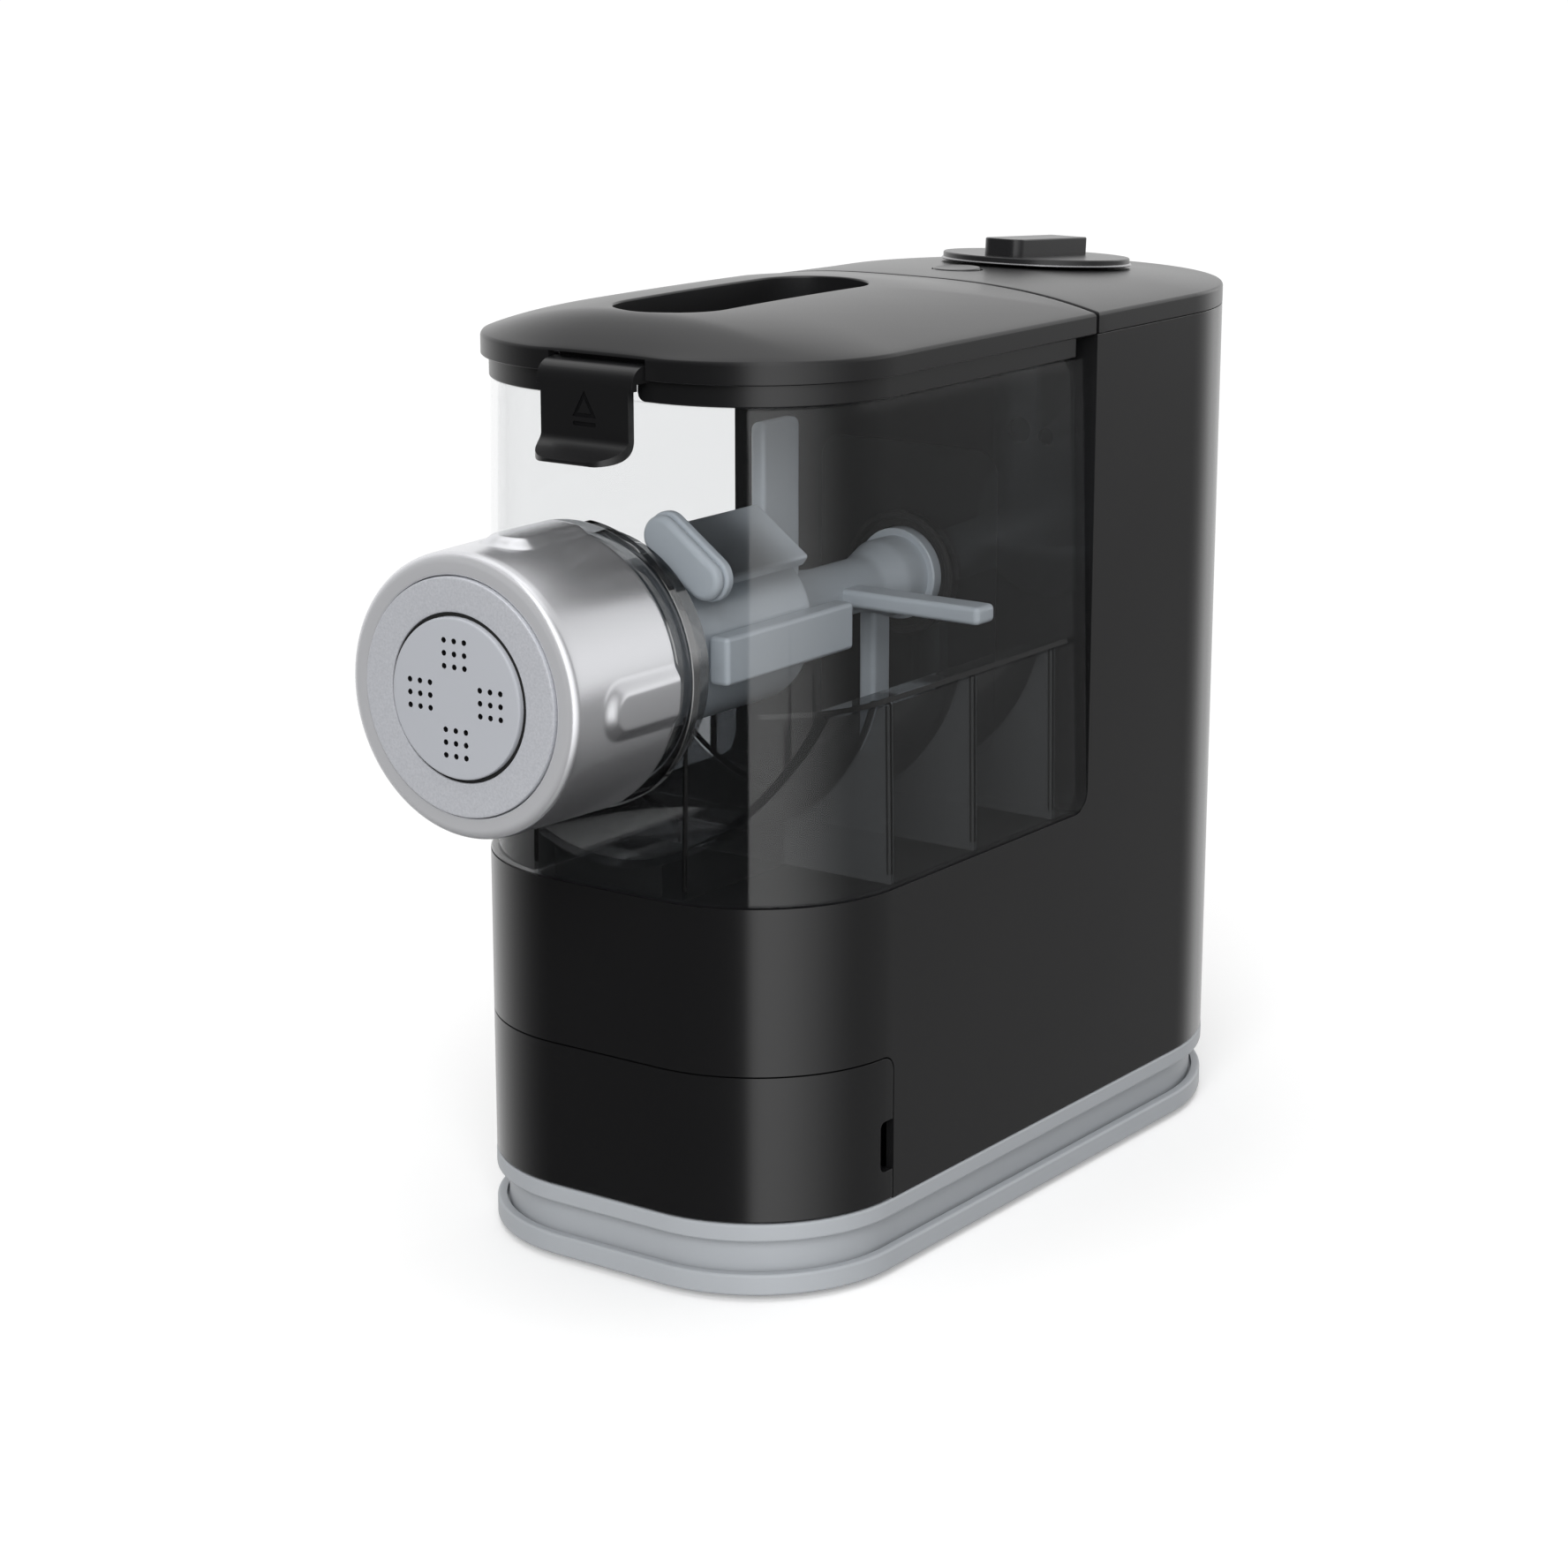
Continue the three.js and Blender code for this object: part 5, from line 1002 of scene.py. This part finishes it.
# %% [markdown]
# The latch turns on a pin at the lid's edge. Seen from the side it is a hook in one line: knuckle,
# shoulder, flat face and a lip that flares out for a finger. Seen from the front its corners are
# round. A shape that is known from two sides is quickly made as the overlap of two prisms.


# %% Latch
def curve(start, control, end, steps=12):
    start, control, end = Vector(start), Vector(control), Vector(end)
    return [start.lerp(control, t).lerp(control.lerp(end, t), t) for t in np.linspace(0, 1, steps + 1)]


face_y = front_y - 5.6 * MM
thick = 2.4 * MM
face_back = face_y + thick
knuckle = 2.5 * MM
flat_top, flat_bottom, tip_z = rim_z - 1.9 * MM, rim_z - 16.3 * MM, rim_z - 21.5 * MM
side_view = curve((pin_y, pin_z + knuckle), (face_y, pin_z + knuckle), (face_y, flat_top), 14)
side_view += curve((face_y, flat_bottom), (face_y - 0.6 * MM, tip_z + thick), (face_y - 9.4 * MM, tip_z), 14)
side_view += curve((face_y - 9.4 * MM, tip_z - 0.1 * MM), (face_y - 9.4 * MM, tip_z - 1.2 * MM),
                   (face_y - 8.2 * MM, tip_z - 1.2 * MM), 4)[1:]
side_view += curve((face_y - 8.2 * MM, tip_z - 1.2 * MM), (face_back, tip_z),
                   (face_back, flat_bottom), 14)[1:]
nose_z = flat_bottom + 2.4 * MM
side_view += [Vector((face_back, pin_z - knuckle)), Vector((pin_y, pin_z - knuckle))]
side_view += arc(pin_y, pin_z, knuckle, -90, 90, 14)[1:-1]
latch = prism("latch", list(reversed(side_view)), "x", -latch_half, latch_half)
front_view = rounded(-latch_half, latch_half, tip_z - 4 * MM, pin_z + 4 * MM, (5 * MM, 5 * MM, 0, 0), 12)
cut(latch, prism("front", front_view, "y", front_y - 20 * MM, front_y + far), operation="INTERSECT")
plan = rounded(-latch_half, latch_half, face_y - 9.4 * MM, front_y + far, (10.5 * MM, 10.5 * MM, 0, 0), 14)
cut(latch, prism("plan", plan, "z", tip_z - far, pin_z + far), operation="INTERSECT")
top = prism("top", list(reversed(side_view)), "x", -latch_half - 1.2 * MM, latch_half + 1.2 * MM)
above = rounded(face_y - 0.01 * MM, front_y + far, rim_z - 2.6 * MM, pin_z + far, 0.0)
cut(top, prism("above", above, "x", -across, across), operation="INTERSECT")
catch = [(face_back - MM, nose_z - 1.2 * MM), (face_back + 2.2 * MM, nose_z - 1.2 * MM),
         (face_back + 2.2 * MM, nose_z + 1.2 * MM), (face_back - MM, nose_z + 4.7 * MM)]
cut(latch, top, prism("catch", catch, "x", 4 * MM - latch_half, latch_half - 4 * MM), operation="UNION")


# %% [markdown]
# The mark on the latch, a triangle over a bar, is a real groove. It is a quarter of a millimetre deep, as a
# mould would press it, so that it stays visible from any side. Its walls are painted a darker black, as
# painted shade.

# %% Mark on the latch
def triangle(inset):
    mark_z, half_base, height = flat_bottom + 9.2 * MM, 4.2 * MM, 7.4 * MM
    slant = math.atan2(height, half_base)
    low = mark_z - height / 2 + inset
    base = half_base - inset / math.tan(slant / 2)
    return [Vector((-base, low)), Vector((base, low)), Vector((0, low + base * math.tan(slant)))]


groove = 0.5 * MM
mark = prism("mark", triangle(0), "y", face_y - MM, face_y + groove)
cut(mark, prism("core", triangle(1.1 * MM), "y", face_y - 2 * MM, face_y + MM))
dash_z = flat_bottom + 3.6 * MM
dash = prism("dash", rounded(-4 * MM, 4 * MM, dash_z - 0.6 * MM, dash_z + 0.6 * MM, 0.3 * MM, 3), "y",
             face_y - MM, face_y + groove)
soften(latch, 0.5 * MM, 55, 3)
# The walls of the groove take the darker black: painted shade in the groove.
for tool in (mark, dash):
    tool.data.materials.append(black_lid)
    tool.data.materials.append(painted_shade_black)
    tool.data.polygons.foreach_set("material_index", [1] * len(tool.data.polygons))
latch.data.materials.append(black_lid)
latch.data.materials.append(painted_shade_black)
cut(latch, mark, dash)
dress(latch, black_lid, "latch", ("lid_latch",), edges=(painted_shade_black,))
print("latch has", len(latch.data.polygons), "faces")


# %% [markdown]
# The dough is pressed out through a tube that sits in the neck. The tube's flange closes the neck's mouth,
# and the shaping disc fills the tube. Its 36 holes are real, one cut with all of them joined, and their walls
# are painted black as painted shade.

# %% Tube, disc and shaft seal
tube_radius, tube_wall = 24.9 * MM, 2.3 * MM
yoke_back = seam_y - 78 * MM
yoke_front = yoke_back - 9.6 * MM
tube_back = yoke_front - 0.9 * MM
flange_back, flange_front, flange_radius = neck_front - 0.3 * MM, neck_front - 3.3 * MM, 36.2 * MM
bore = tube_radius - tube_wall
lathe("tube_sleeve", [(bore + 0.4 * MM, tube_back), (tube_radius - 0.4 * MM, tube_back),
                      (tube_radius, tube_back + 0.4 * MM), (tube_radius, flange_back),
                      (flange_radius - 0.4 * MM, flange_back), (flange_radius, flange_back - 0.4 * MM),
                      (flange_radius, flange_front + 0.4 * MM), (flange_radius - 0.4 * MM, flange_front),
                      (bore, flange_front), (bore, tube_back + 0.4 * MM)], material=food_grey,
      body="chamber", stands_for=("extrusion_tube",), slot="food_grey")
disc_radius, nut_front = 22.3 * MM, neck_front - 8.15 * MM
disc_front = nut_front - 2.2 * MM
disc = lathe("die", [(0, flange_front), (disc_radius, flange_front), (disc_radius, disc_front + 0.8 * MM),
                     (disc_radius - 0.25 * MM, disc_front + 0.25 * MM), (disc_radius - 0.8 * MM, disc_front),
                     (0, disc_front)], steps=160)
holes = []
for k in range(4):
    cx, cz = 12.3 * MM * math.cos(k * math.pi / 2), 12.3 * MM * math.sin(k * math.pi / 2)
    for i in (-1, 0, 1):
        for j in (-1, 0, 1):
            holes.append((cx + i * 3.55 * MM, axis_z + cz + j * 3.55 * MM))
points, faces = [], []
for x, z in holes:
    start = len(points)
    for y in (disc_front - far, flange_front + far):
        points += [Vector((p[0], y, p[1])) for p in arc(x, z, 0.8 * MM, 0, 360, 20)[:-1]]
    faces += [tuple(start + i for i in face) for face in ring_faces(2, 20)]
punches = piece("holes", points, faces, None, None)
# The walls of the holes take the black: painted shade inside the holes.
for shape, index in ((disc, 0), (punches, 1)):
    shape.data.materials.append(disc_grey)
    shape.data.materials.append(black_inner_and_hole_shade)
    shape.data.polygons.foreach_set("material_index", [index] * len(shape.data.polygons))
cut(disc, punches)
dress(disc, disc_grey, "chamber", ("shaping_disc",), edges=(black_inner_and_hole_shade,))
seal_low, seal_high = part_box("shaft_seal")
seal_radius = (seal_high.x - seal_low.x) / 2
lathe("seal_ring", [(14.9 * MM, seal_low.y + 2 * MM), (17.1 * MM, seal_low.y + 1.6 * MM),
                    (17.5 * MM, seal_low.y + 0.5 * MM), (18 * MM, seal_low.y),
                    (seal_radius - 0.4 * MM, seal_low.y), (seal_radius, seal_low.y + 0.4 * MM),
                    (seal_radius, seal_high.y), (14.9 * MM, seal_high.y)],
      material=rubber_black, body="chamber", stands_for=("shaft_seal",), slot="rubber")
print("disc has", len(holes), "holes and", len(disc.data.polygons), "faces")

# %% [markdown]
# The nut is a drawn metal cup with four grips pressed out of its side. A grip blends into the side
# on all its edges, so here the whole side is a fine grid, and a smooth bump lifts its points. The
# lip in front, the bore and the back edge close the same grid.

# %% Locking nut
blasted = Finish("nut silver", (0.72, 0.725, 0.75), 0.3)
grit = blasted.noise(3000, 2)
along_axis = blasted.tree.nodes.new("ShaderNodeSeparateXYZ")
fill(blasted.tree, along_axis.inputs[0], blasted.place())
on_side = (Value(blasted.tree, along_axis.outputs[1]) - (nut_front - 0.5 * MM)) * (1 / (2.5 * MM))
on_side.socket.node.use_clamp = True
blasted.set("Metallic", on_side * 0.6 + 0.3)
blasted.set("Roughness", grit * 0.05 + 0.23)
blasted.bump(grit, 0.1, 0.00002)
nut_silver = blasted.material
nut_back, nut_radius, nut_back_radius = nut_front + 43.3 * MM, 39.5 * MM, 40.5 * MM
nut_round, opening, nut_bore, nut_lip = 3 * MM, 33.3 * MM, 37.1 * MM, 3 * MM
grip_half, grip_rise, grip_blend = 8.8 * MM, 1.5 * MM, 4.6 * MM
grip_front = nut_back - 32 * MM


def side_radius(y):
    return nut_radius + (nut_back_radius - nut_radius) * (y - nut_front) / (nut_back - nut_front)


def grip_lift(turn, y):
    """How far a grip lifts the side: a pill that runs off the back edge, with soft flanks."""
    lift = 0.0
    for k in range(4):
        away = (turn - math.radians(3 + 90 * k) + math.pi) % (2 * math.pi) - math.pi
        u, v = away * nut_radius, min(0.0, y - grip_front - grip_half)
        inside = (grip_half - math.hypot(u, v)) / grip_blend
        share = min(1.0, max(0.0, inside))
        lift = max(lift, share * share * (3 - 2 * share))
    return lift * (grip_rise + nut_back_radius - side_radius(y))


heights = [nut_front + nut_round] + list(np.linspace(nut_front + nut_round, nut_back - 0.9 * MM, 44)[1:])
steps, rings = 480, []
for k in range(steps):
    turn = 2 * math.pi * k / steps
    profile = [(nut_bore, nut_front + nut_lip), (opening, nut_front + nut_lip),
               (opening, nut_front + 0.5 * MM),
               (opening + 0.15 * MM, nut_front + 0.15 * MM), (opening + 0.5 * MM, nut_front)]
    profile += [(nut_radius - nut_round + nut_round * math.sin(t),
                 nut_front + nut_round - nut_round * math.cos(t)) for t in np.linspace(0, math.pi / 2, 11)]
    profile += [(side_radius(y) + grip_lift(turn, y), y) for y in heights[1:]]
    last = profile[-1][0]
    profile += [(last - 0.25 * MM, nut_back - 0.25 * MM), (last - 0.9 * MM, nut_back), (nut_bore, nut_back)]
    rings.append([Vector((r * math.sin(turn), y, axis_z + r * math.cos(turn))) for r, y in profile])
nut = loft("nut_shell", rings, nut_silver, "nut", joined=True, stands_for=("locking_nut",), slot="nut_silver",
           sharp=50)
plate_front, plate_back = nut_front - 1 * MM, nut_front + nut_lip + 0.3 * MM
plate_inner, plate_outer = disc_radius + 1 * MM, opening - 0.3 * MM
lathe("face_plate", [(plate_inner, plate_back + 1.5 * MM), (flange_radius, plate_back + 1.5 * MM),
                     (flange_radius, plate_back), (plate_outer, plate_back),
                     (plate_outer, plate_front + 0.7 * MM),
                     (plate_outer - 0.2 * MM, plate_front + 0.2 * MM), (plate_outer - 0.7 * MM, plate_front),
                     (plate_inner + 0.7 * MM, plate_front), (plate_inner + 0.2 * MM, plate_front + 0.2 * MM),
                     (plate_inner, plate_front + 0.7 * MM)], steps=160, material=sparkle_grey, body="nut",
      stands_for=("nut_face_plate",), slot="disc_grey")
# A thin black ring in the gap between the disc and the face plate: painted shade in the gap, not a real part.
gap_shade_inner, gap_shade_outer = disc_radius + 0.12 * MM, plate_inner - 0.02 * MM
gap_shade_front = plate_front + 0.45 * MM
lathe("gap_shade_ring", [(gap_shade_inner, gap_shade_front), (gap_shade_outer, gap_shade_front), (gap_shade_outer, plate_back),
                     (gap_shade_inner, plate_back)], steps=160, material=rubber_black, body="nut", slot="rubber")
print("nut has", len(nut.data.polygons), "faces")

# %% [markdown]
# The kneading hook is one moulding in the blue grey of food-safe parts. Its hub turns on the axis.
# Flat arms with round edges reach close to the trough, and a scraper and a paddle pass outside the
# tube. Each is a rounded slab, turned into its place, and all are joined. The blade of the scraper
# hangs on a slanted gusset, so that it clears the end of the tube. One fault is known here: the arm
# that points down goes in with its faces inside out, so the joined mesh keeps some open edges, and
# the blade's face reads darker than it should.

# %% Kneading hook
hub_back = seam_y - 0.9 * MM
shaft_radius, hub_radius, collar_radius = 8.5 * MM, 12.2 * MM, 14.4 * MM
hook = lathe("hook_body", [(0, yoke_front), (22.4 * MM, yoke_front), (23 * MM, yoke_front + 0.6 * MM),
                           (23 * MM, yoke_front + 2.6 * MM), (22 * MM, yoke_front + 3.4 * MM),
                           (15 * MM, yoke_front + 6 * MM), (12.6 * MM, yoke_back),
                           (9.6 * MM, yoke_back + 14 * MM),
                           (shaft_radius, yoke_back + 28 * MM), (shaft_radius, hub_back - 27 * MM),
                           (9.2 * MM, hub_back - 24 * MM), (11.4 * MM, hub_back - 17 * MM),
                           (hub_radius, hub_back - 14.5 * MM), (hub_radius, hub_back - 6 * MM),
                           (collar_radius - 0.4 * MM, hub_back - 6 * MM),
                           (collar_radius, hub_back - 5.6 * MM),
                           (collar_radius, hub_back), (0, hub_back)], steps=80)
arm_reach, down_reach = trough_radius - 2 * MM, trough_radius - 3.8 * MM


def at_turn(turn):
    return Matrix.Translation((0, 0, axis_z)) @ Matrix.Rotation(-math.radians(turn), 4, "Y")


def arm(turn, width, reach, y, tip, thick=8 * MM):
    outline = rounded(0, reach, y - width / 2, y + width / 2, (0.0, tip, tip, 0.0), 6)
    return slab("arm", outline, -thick / 2, thick / 2, 1.6 * MM, at_turn(turn))


paddle_inner, paddle_outer, paddle_front = 26.4 * MM, 33.4 * MM, front_y + 15.35 * MM
paddle = slab("paddle", rounded(paddle_inner, paddle_outer, paddle_front, yoke_back, 1.6 * MM, 5), -7 * MM,
              7 * MM, 1.4 * MM, at_turn(0))
yoke = slab("yoke", rounded(0, paddle_outer - 1.2 * MM, yoke_front + 0.4 * MM, yoke_back - 0.5 * MM,
                            (0.0, MM, MM, 0.0), 5), -6 * MM, 6 * MM, 1.2 * MM, at_turn(0))
scraper_radius, scraper_front, blade_back = 35.6 * MM, front_y + 13.95 * MM, yoke_front - 10.4 * MM
blade_view = rounded(scraper_radius - 2 * MM, scraper_radius + 2 * MM, scraper_front - 3 * MM,
                     blade_back, MM, 4)
scraper_turn = at_turn(54)
blade = slab("blade", blade_view, -11.5 * MM, 11.5 * MM, MM, scraper_turn)
facing = scraper_turn @ Matrix.Rotation(math.radians(90), 4, "X")
pill = rounded(scraper_radius - 5.4 * MM, scraper_radius + 6.6 * MM, -15 * MM, 15 * MM, 5.9 * MM, 14)
capsule = slab("capsule", pill, -(scraper_front - 0.5 * MM), -(scraper_front - 4.9 * MM), 2 * MM, facing)
backing = slab("backing", offset(pill, -0.7 * MM), -(scraper_front + 2.2 * MM), -(scraper_front - 1 * MM),
               0.9 * MM, facing)
gusset_view = [(24, 0.5), (26.5, -1.5), (34, -18), (35, -18), (35, -10.6), (22, 5)]
gusset_view = [Vector((r * MM, yoke_front + y * MM)) for r, y in reversed(gusset_view)]
gusset = slab("gusset", gusset_view, -2.5 * MM, 2.5 * MM, 0.3 * MM, scraper_turn)
cut(hook, arm(90, 19 * MM, arm_reach, seam_y - 71.3 * MM, 2.5 * MM, 5 * MM),
    arm(0, 10 * MM, arm_reach, seam_y - 43 * MM, 2 * MM, 5.5 * MM),
    arm(-90, 9.6 * MM, down_reach, seam_y - 18.2 * MM, 2 * MM, 6 * MM),
    paddle, yoke, blade, capsule, backing, gusset, operation="UNION")
socket = lathe("socket", [(0, hub_back - 14 * MM), (7.4 * MM, hub_back - 14 * MM), (7.4 * MM, hub_back + far),
                          (0, hub_back + far)], steps=6)
screw_end = yoke_front + 12 * MM
screw_hole = lathe("socket", [(0, yoke_front - far), (9.1 * MM, yoke_front - far), (9.1 * MM, screw_end),
                              (0, screw_end)], steps=48)
cut(hook, socket, screw_hole)
dress(hook, food_grey, "hook", ("kneading_hook",))
print("hook has", len(hook.data.polygons), "faces")

# %% [markdown]
# The drive wall behind the chamber carries a cover plate with round corners. It is seen only through
# smoky plastic, yet its edge catches a faint line of light, so it gets a real rounded edge.

# %% Drive panel
panel_low, panel_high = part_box("drive_panel")
panel = slab("panel_plate", rounded(-33 * MM, 33 * MM, panel_low.z, 227 * MM, 8 * MM, 10),
             -panel_high.y, -panel_low.y, 0.15 * MM, Matrix.Rotation(math.radians(90), 4, "X"))
cut(panel, lathe("hole", [(0, seam_y - far), (17.5 * MM, seam_y - far), (17.5 * MM, seam_y + far),
                          (0, seam_y + far)], steps=64))
dress(panel, black_inner_and_hole_shade, "housing", ("drive_panel",))

# %% [markdown]
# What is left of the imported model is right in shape: feet, screws, boards, motor and gears. Each
# takes the finish of its own material slot, so that nothing hidden is left as bare grey.

# %% Finishes for the carried pieces
finishes = {"body_black": black_shell, "control_black": black_control, "inner_black": black_inner_and_hole_shade,
            "plinth_grey": plinth_grey, "clear": clear_wall, "food_grey": food_grey,
            "nut_silver": satin_silver, "disc_grey": disc_grey, "rubber": rubber_black,
            "steel": machined_steel, "gear_white": gear_white, "cast_alloy": cast_alloy,
            "motor_iron": motor_iron, "board_green": board_green}
dressed = 0
for part in frame["record"]["subparts"]:
    for name in [part.get("node")] if part.get("node") else part.get("nodes", []):
        node = nodes[name]
        finish = finishes[part["material_slot"]]
        for slot in node.material_slots:
            slot.material = finish
        dressed += 1
print(dressed, "nodes dressed")

# %% [markdown]
# The floor is white paper. It takes the soft shadow as a real surface, and a little glow seen only
# by the camera and through clear plastic tops it up to white. Further out it turns into even white.


# %% Floor
def flat(name, size, z):
    sheet = [(-size, -size, z), (size, -size, z), (size, size, z), (-size, size, z)]
    return piece(name, sheet, [(0, 1, 2, 3)], None, None)


paper = Finish("white paper", (0.86, 0.86, 0.86), 0.9)
seen_rays = ("Is Camera Ray", "Is Transmission Ray")
path = paper.tree.nodes.new("ShaderNodeLightPath")
by_camera, through_clear = [Value(paper.tree, path.outputs[ray]) for ray in seen_rays]
seen = by_camera + through_clear
away = paper.add("VectorMath", {"operation": "LENGTH"}, output=1, Vector=paper.place())
fade = paper.add("MapRange", {"interpolation_type": "SMOOTHSTEP"}, Value=away)
fade_node = fade.socket.node
fade_node.inputs["From Min"].default_value = 0.24
fade_node.inputs["From Max"].default_value = 0.5
near_glow = paper.add("Emission", Strength=seen * 0.2)
far_glow = paper.add("Emission", Strength=seen * 1.04)
lit = paper.tree.nodes.new("ShaderNodeAddShader")
paper_mix = paper.tree.nodes.new("ShaderNodeMixShader")
paper_out = paper.tree.nodes["Material Output"]
fill(paper.tree, paper_mix.inputs[0], fade)
for start, end in ((paper.shader.outputs[0], lit.inputs[0]), (near_glow.socket, lit.inputs[1]),
                   (lit.outputs[0], paper_mix.inputs[1]), (far_glow.socket, paper_mix.inputs[2]),
                   (paper_mix.outputs[0], paper_out.inputs[0])):
    paper.tree.links.new(start, end)
floor = flat("floor", 30, 0)
floor.data.materials.append(paper.material)
floor.visible_glossy = False
floor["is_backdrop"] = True

# %% [markdown]
# Reflections make black plastic and silver metal. The world is a studio in plain sums: a white
# wall behind, a darker room in front, and one tall soft box that gives the long light on the front
# corner. The camera itself sees white, and matt surfaces get an even grey sky.


# %% World
class Studio(Finish):
    def __init__(self, world):
        self.tree = world.node_tree

    def step(self, value, low, high, top=1.0):
        made = self.add("MapRange", {"interpolation_type": "SMOOTHSTEP"}, Value=value)
        for name, number in (("From Min", low), ("From Max", high), ("To Max", top)):
            made.socket.node.inputs[name].default_value = number
        return made

    def along(self, way):
        return self.add("VectorMath", {"operation": "DOT_PRODUCT"}, output=1, Vector_001=way, Vector=self.way)


world = bpy.data.worlds.new("studio")
world.use_nodes = True
bpy.context.scene.world = world
studio = Studio(world)
studio.way = studio.add("TexCoord", output="Generated")
parts_of = studio.tree.nodes.new("ShaderNodeSeparateXYZ")
fill(studio.tree, parts_of.inputs[0], studio.way)
to_x, to_y, to_z = (Value(studio.tree, socket) for socket in parts_of.outputs)
bearing = to_x.sum_with("ARCTAN2", to_y * -1.0)
height = to_z.sum_with("ARCSINE", 0.0)


def degrees_step(value, low, high, top=1.0):
    return studio.step(value, math.radians(low), math.radians(high), top)


soft_box = degrees_step(bearing, 29, 32) * (degrees_step(bearing, 40, 112, -1.5) + 1.75)
horizon = degrees_step(height, -9, 3) * (1 - degrees_step(height, 12, 40, 0.4))
horizon = horizon * degrees_step(bearing, 100, 135)
rear_left = degrees_step(bearing * -1.0, 40, 115) * (1 - degrees_step(height, 25, 80, 0.35))
rear_right = degrees_step(bearing, 155, 180) * (1 - degrees_step(height, 16, 55, 0.6))
overhead = degrees_step(height, 45, 65, 0.5)
ground = degrees_step(height, -50, -14, 0.85) + 0.15
room_light = (soft_box + horizon * 0.75 + rear_left + rear_right + overhead + 0.03) * ground
rays = studio.tree.nodes.new("ShaderNodeLightPath")
by_camera, through_clear = [Value(studio.tree, rays.outputs[ray]) for ray in seen_rays]
white = by_camera + through_clear
glossy = Value(studio.tree, rays.outputs["Is Glossy Ray"]) * (1 - white)
strength = white + glossy * room_light + (1 - white - glossy) * 0.35
background = studio.tree.nodes["Background"]
background.inputs["Color"].default_value = (1, 1, 1, 1)
fill(studio.tree, background.inputs["Strength"], strength)
world.cycles.sampling_method = "NONE"

# %% [markdown]
# One wide lamp overhead gives the soft shadow round the feet. A paler one in front models the grey parts, and
# neither is mirrored: the studio above does the reflections.


# %% Lamps
def lamp(name, place, aim, size, watts):
    light = bpy.data.lights.new(name, "AREA")
    light.shape, light.size, light.energy = "SQUARE", size, watts
    made = bpy.data.objects.new(name, light)
    made.location = place
    made.rotation_euler = (Vector(aim) - Vector(place)).to_track_quat("-Z", "Y").to_euler()
    made.visible_glossy = False
    bpy.context.scene.collection.objects.link(made)


centre = (0, 0.0, 0.15)
lamp("overhead", (0, 0, 2.0), centre, 2.0, 26)
lamp("front", (0.9, -1.6, 1.0), centre, 1.2, 32)
print("lamps:", len(bpy.data.lights))

# %% [markdown]
# The camera shows the scene as it is written: standard view, no effects. Last, the two boxes are set side by
# side and their difference is printed, since a finer surface mustn't make the object bigger than its frame.

# %% Finish
bpy.context.scene.view_settings.view_transform = "Standard"
new_box = [list(corner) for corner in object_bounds()]
growth = [round((b - a) / MM, 2) for a, b in zip(cad_box[0] + cad_box[1], new_box[0] + new_box[1])]
print("grown by", growth, "mm")
